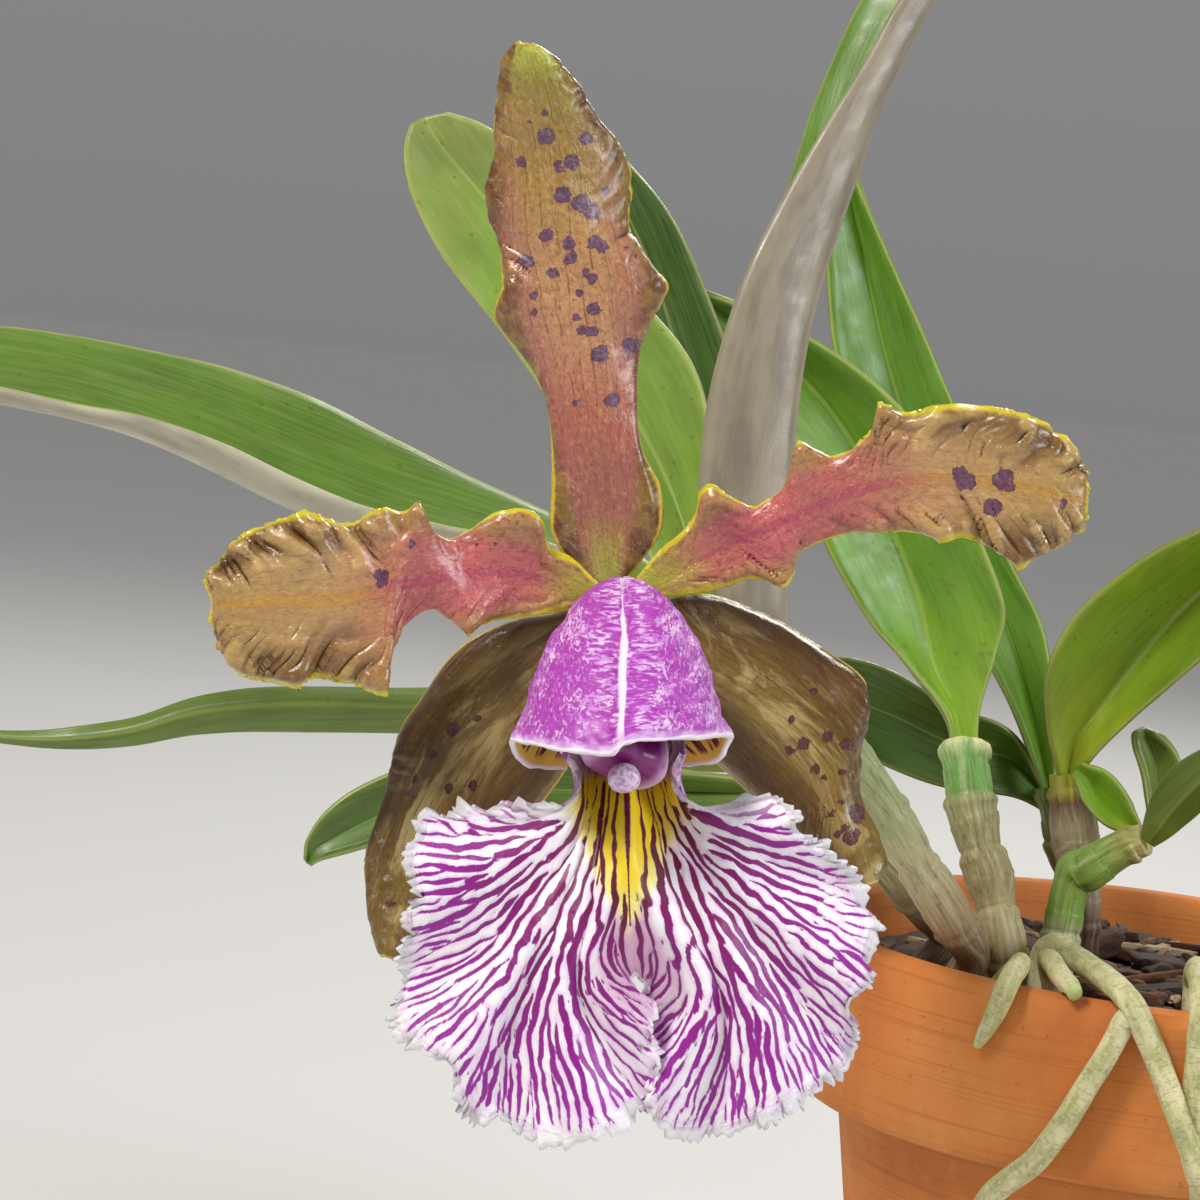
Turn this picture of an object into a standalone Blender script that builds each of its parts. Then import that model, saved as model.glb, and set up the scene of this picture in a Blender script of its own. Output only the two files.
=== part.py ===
"""Cattleya orchid in bloom, growing in a clay pot. Millimetres, turned into metres when a mesh is made.

The plant is drawn on a front view: a sheet of 1200 by 1200 units, x to the right and y down, seen from
VIEWER. A drawn point is (x, y, depth), with the depth in millimetres from the viewer.
"""

import math
import random

import bmesh
import bpy
import numpy as np

MM = 0.001
GAP = 0.3
SEED = 7

# Front view.
SHEET_CENTRE = 600.0
FOCAL = 2910.0
VIEW_PITCH = math.radians(4.6)
VIEW_ROLL = math.radians(5.8)
RIM_ON_SHEET = (1142.6, 940.9)
RIM_DEPTH = 478.1
BLOOM_DEPTH = 330.0

# Pot.
POT_HEIGHT = 96.0
POT_SIDES = 40
POT_PROFILE = [
    (35.0, 0.0), (36.2, 1.2), (47.4, 67.6), (54.2, 68.2), (55.3, 69.6), (56.2, 93.6), (55.6, 95.4),
    (54.0, 96.0), (51.8, 95.6), (50.8, 94.0), (43.4, 66.0), (32.0, 9.5), (30.5, 8.0),
]
RIM_INNER = 50.8
RIM_OUTER = 56.2
DRAIN_RADIUS = 5.0
DRAIN_CIRCLE = 18.0
DRAIN_COUNT = 3
DRAIN_TURN = 0.25
DRAIN_SIDES = 14
DRAIN_BOTTOM, DRAIN_TOP = -2.0, 10.0

# Bark.
BARK_PROFILE = [(30.0, 8.3), (31.5, 9.4), (43.0, 66.3), (48.6, 87.2)]
BARK_TOP = 88.6
BARK_TOP_PROFILE = [(46.8, 88.0), (34.0, 88.9), (20.0, 88.6)]
CHIP_COUNT = 30
CHIP_REACH = 41.0
CHIP_HALF_SIZES = [(5.0, 8.5), (3.4, 5.6), (1.8, 3.0)]
CHIP_CORNER = (0.75, 1.05)
CHIP_RISE = (-1.2, 1.4)
CHIP_TIP = 0.35
CHIP_STRAY = 0.15
GOLDEN_ANGLE = math.radians(137.5)

# Blades.
LEAF_THICK = 1.5
PETAL_THICK = 0.9
LIP_THICK = 0.8
THINNEST = 0.6
NARROW_END = 0.3
LEAF_COLUMNS = 5
SEPAL_COLUMNS = 7
PETAL_COLUMNS = 6

# Round pieces.
CANE_SIDES = 10
ROOT_SIDES = 7
ROOT_RINGS = 15
TUBE_SIDE = (0.31, 0.17, 0.93)

COLOURS = {
    "terracotta": (0.52, 0.19, 0.065, 0.85),
    "bark": (0.06, 0.035, 0.022, 0.9),
    "rhizome": (0.19, 0.12, 0.07, 0.8),
    "cane": (0.36, 0.38, 0.20, 0.6),
    "leaf": (0.16, 0.31, 0.055, 0.45),
    "leaf_underside": (0.38, 0.33, 0.27, 0.55),
    "root": (0.52, 0.53, 0.34, 0.7),
    "stem": (0.30, 0.38, 0.12, 0.5),
    "sepal": (0.42, 0.22, 0.09, 0.4),
    "petal": (0.55, 0.22, 0.14, 0.4),
    "hood": (0.55, 0.17, 0.58, 0.45),
    "lip": (0.62, 0.30, 0.62, 0.45),
    "column": (0.36, 0.07, 0.36, 0.4),
    "cap": (0.75, 0.62, 0.78, 0.4),
}

# Bloom: stations of (left x, y, height, right x, y, height, middle height) from base to tip. A height is
# in millimetres towards the viewer from the plane of the bloom.
SEPAL_UPPER = [
    (588, 584, -2.2, 626, 582, -2.2, -2.0), (572, 566, -2.0, 642, 560, -2.0, -2.4),
    (553, 532, -0.6, 659, 530, -0.6, -2.6), (556, 490, -0.2, 655, 490, -0.2, -1.6),
    (548, 430, -0.6, 643, 440, -0.6, 0.4), (535, 382, -1.4, 641, 386, -1.6, 1.4),
    (513, 350, -2.6, 648, 344, -2.6, 1.8), (490, 320, -2.0, 664, 312, -1.0, 2.2),
    (499, 288, 0.6, 670, 286, 0.8, 2.2), (494, 250, -1.6, 655, 258, 0.0, 2.4),
    (478, 200, -2.4, 633, 222, -2.6, 2.6), (488, 150, 0.2, 630, 157, -1.4, 3.2),
    (492, 100, 1.6, 604, 120, 1.4, 4.6), (497, 66, 3.4, 578, 82, 3.2, 6.2),
    (508, 49, 5.6, 552, 54, 5.4, 7.4), (520, 43, 7.2, 534, 44, 7.2, 8.0),
]
PETAL_LEFT = [
    (598, 583, -0.9, 600, 605, -0.9, -0.7), (575, 562, -0.2, 572, 609, -0.4, -0.8),
    (548, 549, 0.6, 540, 614, 0.2, -0.6), (538, 518, 3.0, 512, 617, 0.2, 0.4),
    (502, 513, 3.2, 488, 623, 1.6, 1.4), (465, 530, 2.0, 468, 636, 3.0, 2.6),
    (449, 536, 2.6, 451, 624, 2.0, 3.6), (429, 524, 4.6, 430, 612, 3.0, 4.6),
    (420, 501, 6.6, 402, 633, 4.2, 5.6), (400, 511, 5.6, 390, 657, 5.6, 6.8),
    (380, 508, 7.4, 385, 694, 8.2, 6.6), (350, 520, 6.4, 348, 686, 6.0, 7.4),
    (322, 516, 8.2, 318, 679, 7.2, 7.4), (297, 513, 8.8, 297, 688, 8.6, 7.6),
    (264, 523, 6.8, 265, 684, 7.0, 8.4), (239, 536, 7.8, 238, 676, 7.4, 8.2),
    (218, 556, 6.6, 222, 650, 6.4, 7.8), (208, 586, 6.4, 215, 618, 6.4, 7.0),
]
PETAL_RIGHT = [
    (644, 599, -0.9, 637, 577, -0.9, -0.7), (688, 592, -0.2, 660, 551, -0.2, -0.8),
    (724, 584, 0.4, 692, 523, 0.8, -0.4), (756, 577, 1.2, 706, 494, 3.4, 0.6),
    (781, 587, 2.8, 734, 500, 3.0, 1.8), (794, 576, 2.6, 757, 505, 2.4, 2.8),
    (800, 555, 2.2, 786, 480, 3.0, 3.8), (823, 542, 3.0, 797, 442, 5.8, 4.6),
    (855, 535, 4.2, 836, 455, 5.0, 5.6), (890, 535, 5.0, 869, 431, 6.4, 6.4),
    (915, 536, 5.6, 879, 403, 9.0, 7.0), (941, 543, 7.4, 908, 412, 7.6, 7.4),
    (966, 538, 6.8, 941, 405, 8.6, 7.6), (996, 556, 7.6, 976, 405, 7.8, 8.4),
    (1020, 570, 9.2, 1015, 411, 9.0, 8.6), (1047, 558, 7.4, 1050, 424, 7.4, 8.8),
    (1071, 541, 7.0, 1077, 452, 7.4, 8.2), (1086, 517, 6.6, 1088, 487, 6.6, 7.2),
]
SEPAL_LEFT = [
    (592, 600, -2.4, 612, 628, -2.4, -2.2), (556, 612, -3.0, 600, 688, -4.4, -2.4),
    (510, 620, -4.4, 588, 738, -5.4, -2.6), (460, 646, -5.6, 564, 782, -5.4, -3.0),
    (422, 690, -6.2, 536, 816, -5.4, -3.0), (394, 735, -5.4, 507, 850, -5.2, -2.8),
    (380, 790, -6.0, 482, 886, -4.6, -2.4), (363, 848, -5.0, 456, 920, -4.2, -2.0),
    (364, 900, -3.6, 432, 944, -3.4, -1.2), (373, 940, -2.0, 408, 957, -2.2, -0.4),
    (382, 956, -0.6, 393, 959, -0.6, 0.0),
]
SEPAL_RIGHT = [
    (640, 628, -2.4, 654, 602, -2.4, -2.2), (662, 690, -4.4, 688, 595, -3.0, -2.4),
    (698, 750, -5.4, 724, 594, -4.4, -2.6), (738, 785, -5.4, 774, 615, -5.0, -2.8),
    (768, 816, -5.2, 824, 646, -4.6, -2.6), (796, 842, -5.0, 869, 686, -3.0, -2.2),
    (813, 862, -4.6, 862, 745, -5.0, -1.8), (825, 874, -4.0, 862, 792, -5.4, -1.4),
    (838, 884, -3.0, 880, 832, -3.4, -0.8), (850, 888, -2.0, 888, 861, -2.0, 0.0),
    (862, 889, -0.6, 877, 881, -0.6, 0.4),
]

# Side lobes of the lip: rows of (centre x, y, half width, height at the sides, rise of the crown).
HOOD_ROWS = [
    (622, 579, 6, 1.2, 0.8), (623, 585, 22, 1.3, 2.4), (624, 597, 39, 1.5, 4.4), (624, 613, 53, 2.0, 6.6),
    (624, 640, 71, 3.2, 9.4), (623, 672, 84, 5.0, 12.0), (622, 704, 93, 7.0, 13.6),
    (621, 728, 99, 8.4, 14.6), (621, 748, 105, 9.4, 14.2),
]
HOOD_WRAP = math.radians(148.0)
HOOD_WRAP_START = 0.66
HOOD_WRAP_FULL = 0.35
HOOD_COLUMNS = 23
HOOD_STEPS = 11
HOOD_UNDER = 6.0
HOOD_EAR = 20.0
HOOD_EAR_TURN = (1.45, 2.1)
HOOD_SEAM = 0.7
HOOD_SEAM_WIDTH = 0.12

# Middle lobe of the lip: the margin of each half, from the top of the cleft round to the neck.
FAN_MARGIN_LEFT = [
    (634, 975), (627, 989), (640, 999), (655, 1009), (653, 1028), (661, 1050), (657, 1070), (660, 1096),
    (652, 1114), (635, 1112), (619, 1127), (606, 1140), (560, 1143), (506, 1132), (463, 1114),
    (447, 1078), (411, 1048), (389, 1018), (399, 975), (400, 930), (407, 885), (403, 850), (410, 835),
    (415, 817), (440, 819), (462, 813), (488, 808), (503, 802), (525, 803), (546, 813),
]
FAN_MARGIN_RIGHT = [
    (634, 975), (647, 990), (640, 1008), (641, 1030), (644, 1060), (648, 1090), (647, 1112), (656, 1128),
    (676, 1139), (704, 1141), (750, 1130), (792, 1110), (835, 1083), (862, 1042), (863, 1010),
    (878, 985), (873, 955), (884, 925), (863, 897), (850, 866), (833, 850), (815, 840), (800, 826),
    (805, 818), (793, 806), (782, 793), (762, 796), (745, 802),
]
# A quarter, half and three quarters of the way along some rays, by the ray's number from the middle.
FAN_RAYS_LEFT = [
    (0, (627, 800), (628, 860), (630, 920)), (3.5, (618, 810), (615, 890), (603, 966)),
    (5.8, (612, 815), (604, 900), (592, 985)), (7.6, (606, 818), (595, 905), (582, 995)),
    (9.2, (602, 822), (587, 910), (575, 1003)), (10.7, (598, 825), (580, 914), (566, 1010)),
    (12.8, (592, 830), (568, 922), (546, 1008)), (14.5, (588, 835), (557, 922), (518, 1010)),
    (18.2, (582, 838), (547, 905), (496, 988)), (21.2, (576, 830), (533, 885), (476, 942)),
    (24.2, (571, 818), (527, 850), (470, 870)), (26, (573, 807), (535, 832), (478, 840)),
    (28, (576, 797), (556, 815), (522, 822)), (30, (580, 778), (577, 793), (565, 805)),
]
FAN_RAYS_RIGHT = [
    (0, (627, 800), (628, 860), (630, 920)), (3.1, (634, 810), (640, 885), (663, 962)),
    (4.65, (638, 815), (648, 895), (681, 985)), (6.9, (645, 820), (662, 905), (698, 1000)),
    (8.4, (651, 824), (672, 908), (708, 1003)), (10.3, (657, 827), (682, 914), (717, 1010)),
    (12.6, (664, 832), (698, 922), (733, 1015)), (14.1, (669, 834), (710, 924), (752, 1015)),
    (16.6, (677, 836), (728, 920), (784, 1008)), (19.6, (685, 830), (740, 900), (802, 962)),
    (23, (691, 822), (745, 868), (815, 905)), (25.3, (691, 813), (742, 845), (797, 862)),
    (27.6, (684, 800), (714, 818), (757, 826)), (30, (672, 782), (680, 797), (700, 808)),
]
FAN_NECK = [(576, 728, 4.4), (590, 731, 3.4), (622, 733, 2.9), (652, 731, 3.4), (667, 728, 4.4)]
FAN_RAYS = 30
FAN_STEPS = 9
FAN_CROWD = 1.3
FAN_CREST = 13.5
FAN_CREST_FADE = 0.36
FAN_CREST_SOON = 1.7
FAN_DROOP = 2.4
FAN_RUFFLE = 1.7
FAN_RUFFLE_TURN = 0.98
FAN_LAP = 1.3
FAN_LAP_WIDTH = 0.4
FAN_WALL = 4.0
FAN_WALL_AT = 0.16
FAN_WALL_WIDTH = 0.11
FAN_TOOTH = 5.0
FAN_TOOTH_FROM = 0.86

COLUMN = [
    ((620, 606, 3.4), 1.3), ((621, 650, 6.4), 2.2), ((622, 700, 10.4), 2.8), ((623, 740, 14.0), 3.2),
    ((624, 762, 16.2), 3.0), ((624, 769, 16.8), 2.2),
]
ANTHER_CAP = [
    ((624, 772.6, 17.6), 0.8), ((624, 775, 18.0), 1.6), ((624, 781, 18.9), 1.7), ((624, 787, 19.6), 0.7),
]

# Leaves: stations of (near edge, midrib, far edge), each a drawn point.
LEAF_MAUVE = [
    ((758, 656, 388), (782, 668, 391), (772, 656, 394)),
    ((726, 622, 386), (782, 620, 389), (746, 620, 396)),
    ((702, 560, 386), (784, 560, 389), (728, 560, 398)),
    ((698, 500, 387), (786, 500, 390), (724, 500, 400)),
    ((706, 410, 388), (792, 415, 391), (730, 412, 402)),
    ((722, 340, 389), (801, 345, 392), (742, 342, 403)),
    ((746, 270, 390), (818, 275, 394), (762, 272, 404)),
    ((787, 190, 392), (848, 187, 396), (792, 185, 405)),
    ((830, 118, 394), (874, 112, 398), (813, 115, 405)), ((868, 55, 397), (903, 50, 400), (838, 48, 406)),
    ((896, 5, 399), (930, 0, 402), (866, -5, 407)), ((934, -50, 401), (958, -52, 404), (910, -58, 407)),
    ((972, -98, 403), (984, -100, 405), (968, -104, 407)),
    ((990, -124, 405), (994, -126, 406), (988, -128, 407)),
]
LEAF_LONG = [
    ((736, 684, 387), (746, 698, 388), (740, 682, 392)),
    ((640, 592, 376), (645, 612, 381), (660, 572, 387)),
    ((540, 540, 373), (545, 560, 378), (552, 516, 386)),
    ((452, 526, 370), (456, 541, 375), (458, 473, 384)),
    ((370, 508, 367), (378, 526, 372), (386, 438, 382)),
    ((300, 480, 365), (300, 503, 370), (306, 398, 380)),
    ((222, 443, 363), (225, 468, 368), (228, 369, 378)),
    ((146, 418, 362), (150, 435, 367), (152, 350, 377)),
    ((72, 402, 362), (76, 412, 366), (77, 336, 376)), ((0, 387, 362), (0, 397, 365), (0, 328, 374)),
    ((-70, 374, 362), (-70, 381, 364), (-70, 332, 371)),
    ((-128, 362, 363), (-128, 366, 364), (-126, 344, 367)),
]
LEAF_PALE = [
    ((740, 754, 425), (748, 752, 427), (756, 748, 426)),
    ((706, 672, 424), (722, 662, 427), (738, 652, 423)),
    ((668, 596, 426), (698, 570, 431), (724, 546, 425)),
    ((624, 510, 429), (668, 482, 435), (713, 452, 428)),
    ((566, 426, 432), (620, 392, 438), (694, 368, 431)),
    ((504, 336, 435), (558, 296, 441), (636, 292, 434)),
    ((446, 262, 438), (508, 226, 443), (580, 208, 437)),
    ((412, 196, 440), (462, 172, 444), (528, 154, 440)),
    ((404, 152, 441), (434, 136, 443), (482, 124, 441)),
    ((411, 124, 442), (425, 118, 443), (448, 112, 442)),
]
LEAF_SHADE = [
    ((762, 760, 430), (768, 756, 432), (774, 752, 431)),
    ((722, 660, 438), (742, 652, 441), (762, 648, 438)),
    ((690, 540, 444), (724, 524, 448), (758, 510, 444)),
    ((650, 420, 448), (690, 396, 452), (738, 384, 448)),
    ((610, 300, 451), (654, 276, 455), (704, 284, 451)),
    ((580, 210, 453), (618, 196, 456), (668, 212, 453)),
    ((566, 150, 455), (590, 142, 457), (626, 160, 455)),
    ((572, 122, 456), (580, 118, 457), (590, 120, 456)),
]
LEAF_LOW = [
    ((746, 760, 429), (752, 766, 428), (746, 772, 429)),
    ((680, 738, 424), (690, 752, 422), (680, 768, 424)),
    ((560, 704, 420), (570, 722, 416), (560, 744, 420)),
    ((460, 690, 417), (465, 708, 413), (460, 734, 417)),
    ((390, 689, 415), (392, 706, 411), (390, 730, 415)),
    ((290, 690, 412), (292, 704, 409), (290, 728, 412)),
    ((200, 701, 410), (200, 712, 408), (200, 732, 410)),
    ((130, 722, 409), (130, 731, 407), (130, 744, 409)),
    ((60, 731, 408), (60, 739, 407), (60, 747, 408)), ((0, 731, 408), (0, 737, 407), (0, 742, 408)),
    ((-44, 728, 408), (-44, 731, 407), (-44, 735, 408)),
]
LEAF_SMALL = [
    ((810, 786, 437), (814, 794, 438), (810, 802, 437)),
    ((690, 772, 440), (700, 792, 443), (694, 816, 440)),
    ((580, 756, 438), (590, 790, 441), (584, 826, 438)),
    ((470, 748, 436), (470, 790, 439), (476, 832, 436)),
    ((376, 780, 434), (386, 812, 437), (398, 840, 434)),
    ((330, 808, 433), (340, 834, 435), (350, 852, 433)),
    ((308, 838, 433), (314, 850, 434), (322, 860, 433)),
    ((305, 858, 433), (307, 863, 434), (311, 866, 433)),
]
LEAF_MOTTLED = [
    ((953, 752, 461), (965, 752, 462), (977, 752, 461)),
    ((944, 712, 460), (956, 715, 462), (980, 708, 460)),
    ((906, 664, 460), (934, 668, 464), (996, 655, 459)),
    ((868, 620, 460), (918, 600, 465), (1006, 610, 458)),
    ((832, 560, 459), (899, 547, 465), (986, 552, 457)),
    ((802, 490, 459), (872, 480, 465), (948, 468, 457)),
    ((758, 416, 458), (830, 410, 464), (898, 404, 457)),
    ((722, 352, 458), (776, 352, 463), (836, 352, 457)),
    ((694, 312, 457), (728, 316, 461), (770, 316, 457)),
    ((672, 287, 457), (690, 294, 459), (712, 294, 457)),
    ((662, 281, 457), (668, 284, 458), (676, 285, 457)),
]
LEAF_BROAD = [
    ((1059, 780, 477), (1068, 780, 478), (1077, 779, 477)),
    ((1046, 722, 475), (1076, 742, 478), (1098, 752, 474)),
    ((1049, 666, 472), (1104, 706, 477), (1134, 716, 470)),
    ((1078, 614, 468), (1138, 662, 474), (1170, 684, 466)),
    ((1128, 568, 463), (1184, 608, 470), (1216, 642, 461)),
    ((1190, 534, 457), (1236, 562, 464), (1264, 596, 456)),
    ((1252, 508, 452), (1286, 524, 457), (1304, 548, 451)),
    ((1308, 490, 448), (1326, 496, 450), (1334, 508, 448)),
]
LEAF_BACK = [
    ((1044, 792, 488), (1050, 791, 489), (1056, 790, 488)),
    ((1008, 700, 492), (1030, 700, 495), (1052, 700, 491)),
    ((960, 612, 494), (1000, 612, 498), (1042, 630, 493)),
    ((900, 520, 496), (954, 520, 500), (1000, 540, 495)),
    ((858, 440, 497), (912, 440, 502), (968, 440, 496)),
    ((834, 352, 498), (886, 356, 503), (932, 352, 497)),
    ((827, 274, 499), (868, 278, 503), (901, 284, 498)),
    ((826, 206, 500), (852, 204, 503), (872, 216, 499)),
    ((834, 166, 501), (844, 164, 502), (854, 172, 500)),
]
LEAF_LEVEL = [
    ((1050, 802, 494), (1054, 808, 495), (1050, 814, 494)),
    ((1010, 730, 492), (1016, 762, 496), (1012, 796, 492)),
    ((950, 706, 489), (954, 744, 493), (950, 788, 489)),
    ((896, 674, 488), (898, 718, 492), (896, 770, 488)),
    ((846, 658, 489), (848, 698, 492), (842, 742, 489)),
    ((806, 664, 490), (806, 686, 492), (802, 710, 490)),
    ((784, 674, 491), (782, 682, 492), (780, 690, 491)),
]
LEAF_BRIGHT = [
    ((1142, 829, 469), (1140, 834, 470), (1139, 839, 469)),
    ((1130, 798, 470), (1118, 812, 473), (1104, 826, 470)),
    ((1108, 772, 472), (1096, 786, 475), (1082, 802, 472)),
    ((1082, 763, 473), (1077, 768, 474), (1072, 774, 473)),
]
LEAF_OLIVE = [
    ((1142, 836, 465), (1148, 842, 464), (1154, 846, 465)),
    ((1150, 800, 463), (1172, 810, 460), (1188, 824, 463)),
    ((1176, 766, 460), (1206, 776, 456), (1216, 800, 460)),
    ((1222, 742, 456), (1242, 756, 453), (1248, 776, 456)),
    ((1264, 736, 453), (1268, 744, 452), (1270, 752, 453)),
]
LEAF_BUD = [
    ((1151, 838, 469), (1155, 840, 470), (1160, 840, 469)),
    ((1144, 780, 473), (1160, 782, 475), (1178, 784, 472)),
    ((1135, 748, 474), (1152, 744, 476), (1178, 760, 473)),
    ((1136, 732, 474), (1143, 728, 475), (1154, 732, 474)),
]

# Each leaf: its stations, how many rows it gets, the cane that it grows from, its colour and its keel.
LEAVES = {
    "leaf_mauve": (LEAF_MAUVE, 20, "cane_flower", "leaf_underside", 0.5),
    "leaf_long": (LEAF_LONG, 18, "cane_flower", "leaf", 0.5),
    "leaf_pale": (LEAF_PALE, 15, "cane_left", "leaf", 0.6),
    "leaf_shade": (LEAF_SHADE, 14, "cane_left", "leaf", 0.6),
    "leaf_low": (LEAF_LOW, 15, "cane_left", "leaf", 0.6),
    "leaf_small": (LEAF_SMALL, 14, "cane_left", "leaf", 0.6),
    "leaf_mottled": (LEAF_MOTTLED, 17, "cane_front", "leaf", 0.6),
    "leaf_broad": (LEAF_BROAD, 14, "cane_sheathed", "leaf", 0.6),
    "leaf_back": (LEAF_BACK, 15, "cane_back", "leaf", 0.6),
    "leaf_level": (LEAF_LEVEL, 12, "cane_back", "leaf", 0.6),
    "leaf_bright": (LEAF_BRIGHT, 8, "cane_young", "leaf", 0.6),
    "leaf_olive": (LEAF_OLIVE, 9, "cane_young", "leaf", 0.6),
    "leaf_bud": (LEAF_BUD, 8, "cane_young", "leaf", 0.6),
}

# Round pieces: (drawn point or point in space, radius).
CANE_FLOWER = [
    ((972, 956, 452), 2.8), ((956, 926, 446), 3.3), ((930, 884, 438), 3.4), ((916, 862, 434), 2.9),
    ((900, 836, 429), 3.3), ((872, 790, 420), 3.1), ((836, 742, 409), 3.5), ((820, 722, 404), 3.0),
    ((796, 702, 398), 3.3), ((766, 680, 390), 4.4), ((759, 674, 388), 4.2),
]
CANE_LEFT = [
    ((946, 938, 466), 2.6), ((924, 908, 460), 3.0), ((880, 860, 450), 2.8), ((830, 808, 440), 3.2),
    ((786, 772, 432), 3.0), ((756, 758, 428), 3.6), ((750, 754, 427), 3.2),
]
CANE_FRONT = [
    ((1003, 938, 455), 3.4), ((996, 904, 456), 3.0), ((988, 872, 457), 3.9), ((980, 846, 458), 3.2),
    ((972, 812, 459), 4.0), ((968, 782, 460), 3.5), ((965, 760, 461), 3.6), ((965, 748, 462), 4.1),
]
CANE_SHEATHED = [
    ((1084, 894, 478), 2.8), ((1080, 862, 478), 3.4), ((1074, 828, 478), 3.9), ((1070, 800, 478), 3.4),
    ((1068, 774, 478), 2.9),
]
CANE_YOUNG = [
    ((1072, 884, 470), 3.0), ((1088, 870, 469), 3.4), ((1112, 854, 468), 3.0), ((1134, 843, 467), 2.8),
    ((1146, 840, 466), 2.4),
]
CANE_BACK = [
    ((1076, 886, 490), 2.8), ((1066, 850, 490), 3.3), ((1058, 812, 490), 3.0), ((1052, 786, 490), 3.0),
]
RHIZOME = [
    ((-41, -4, 85.2), 1.8), ((-38, -13, 86), 3.0), ((-32, -23, 86), 3.2), ((-23, -20, 86), 3.3),
    ((-15, -9, 86), 3.0), ((-9, 1, 86), 3.2), ((-8, 12, 86), 3.0), ((-5, 22, 85.4), 1.8),
]
# Where each cane stands on the rhizome.
CANE_FEET = {
    "cane_flower": (-33.5, -24.5, 90.0), "cane_left": (-37.5, -13.5, 90.0),
    "cane_front": (-23.5, -19.8, 90.0), "cane_sheathed": (-9.5, 1.0, 90.0),
    "cane_young": (-15.5, -9.0, 90.0), "cane_back": (-8.0, 11.5, 90.0),
}
CANES = {
    "cane_flower": (CANE_FLOWER, 20), "cane_left": (CANE_LEFT, 14), "cane_front": (CANE_FRONT, 14),
    "cane_sheathed": (CANE_SHEATHED, 11), "cane_young": (CANE_YOUNG, 9), "cane_back": (CANE_BACK, 9),
}
FLOWER_STEM = [
    ((757, 672, 388.5), 1.5), ((724, 651, 377), 1.6), ((690, 632, 363), 1.9), ((660, 618, 351), 2.3),
    ((636, 606, 342), 2.6), ((622, 598, 336), 2.7), ((616, 594, 333.2), 2.4),
]
# Roots: the first point lies in the bark, and each other one is (sheet x, y), radius and how far it
# lies off the pot or the bark.
ROOTS = {
    "root_a": [
        ((-21, -27, 88), 1.4), (1046, 945, 2.0, 0.0), (1070, 955, 2.0, 0.0), (1102, 976, 2.0, 0.0),
        (1126, 996, 1.9, 0.0), (1142, 1025, 1.9, 0.0), (1163, 1074, 1.9, 0.0), (1178, 1118, 1.8, 3.9),
        (1190, 1150, 1.8, 4.3), (1200, 1184, 1.7, 4.3), (1207, 1210, 1.1, 4.0),
    ],
    "root_b": [
        (1134, 1006, 1.2, 0.0), (1124, 1022, 1.8, 0.0), (1112, 1046, 1.8, 0.0), (1092, 1078, 1.8, 0.0),
        (1066, 1120, 1.9, 0.0), (1036, 1160, 1.9, 0.0), (1006, 1182, 1.8, 0.0),
        (984, 1204, 1.7, 0.0), (972, 1240, 1.1, 0.0),
    ],
    "root_c": [
        ((-32, -32, 87), 1.2), (1019, 964, 1.5, 0.0), (1010, 980, 1.6, 0.0), (998, 1008, 1.5, 0.0),
        (984, 1034, 1.1, 0.0), (977, 1046, 0.6, 0.0),
    ],
    "root_d": [
        ((-18, -33, 88), 1.3), (1048, 962, 1.7, 0.0), (1062, 978, 1.7, 0.0), (1075, 994, 1.2, 0.0),
    ],
    "root_e": [
        ((2, -34, 88), 1.4), (1196, 972, 2.0, 0.0), (1204, 1000, 2.1, 0.0), (1200, 1046, 2.1, 0.0),
        (1196, 1098, 2.0, 0.0), (1198, 1150, 1.9, 0.0), (1204, 1206, 1.8, 0.0), (1206, 1236, 1.1, 0.0),
    ],
}


def view_frame():
    """The viewer's position and its right, up and forward directions."""
    forward = np.array([0.0, math.cos(VIEW_PITCH), -math.sin(VIEW_PITCH)])
    level = np.array([1.0, 0.0, 0.0])
    upright = np.array([0.0, math.sin(VIEW_PITCH), math.cos(VIEW_PITCH)])
    right = level * math.cos(VIEW_ROLL) + upright * math.sin(VIEW_ROLL)
    up = upright * math.cos(VIEW_ROLL) - level * math.sin(VIEW_ROLL)
    x = (RIM_ON_SHEET[0] - SHEET_CENTRE) * RIM_DEPTH / FOCAL
    y = (RIM_ON_SHEET[1] - SHEET_CENTRE) * RIM_DEPTH / FOCAL
    place = np.array([0.0, 0.0, POT_HEIGHT]) - right * x + up * y - forward * RIM_DEPTH
    return place, right, up, forward


VIEWER, RIGHT, UP, FORWARD = view_frame()


def seen(points):
    """Drawn points as points in space."""
    points = np.asarray(points, float)
    depth = points[..., 2:]
    x = (points[..., :1] - SHEET_CENTRE) * depth / FOCAL
    y = (points[..., 1:2] - SHEET_CENTRE) * depth / FOCAL
    return VIEWER + RIGHT * x - UP * y + FORWARD * depth


def in_bloom(points):
    """Points of (sheet x, sheet y, height towards the viewer) as points in space."""
    points = np.array(points, float)
    points[..., 2] = BLOOM_DEPTH - points[..., 2]
    return seen(points)


def curve(points, count):
    """A smooth curve through the points, sampled evenly by length."""
    points = np.asarray(points, float)
    ends = np.concatenate([[2 * points[0] - points[1]], points, [2 * points[-1] - points[-2]]])
    fine = []
    for i in range(len(points) - 1):
        a, b, c, d = ends[i:i + 4]
        for t in np.linspace(0, 1, 12, endpoint=False):
            fine.append(0.5 * (2 * b + (c - a) * t + (2 * a - 5 * b + 4 * c - d) * t * t
                               + (3 * b - a - 3 * c + d) * t ** 3))
    fine = np.array(fine + [points[-1]])
    flat = fine.reshape(len(fine), -1)
    along = np.concatenate([[0], np.cumsum(np.linalg.norm(np.diff(flat, axis=0), axis=1))])
    want = np.linspace(0, along[-1], count)
    out = np.stack([np.interp(want, along, flat[:, k]) for k in range(flat.shape[1])], -1)
    return out.reshape((count,) + points.shape[1:])


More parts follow.
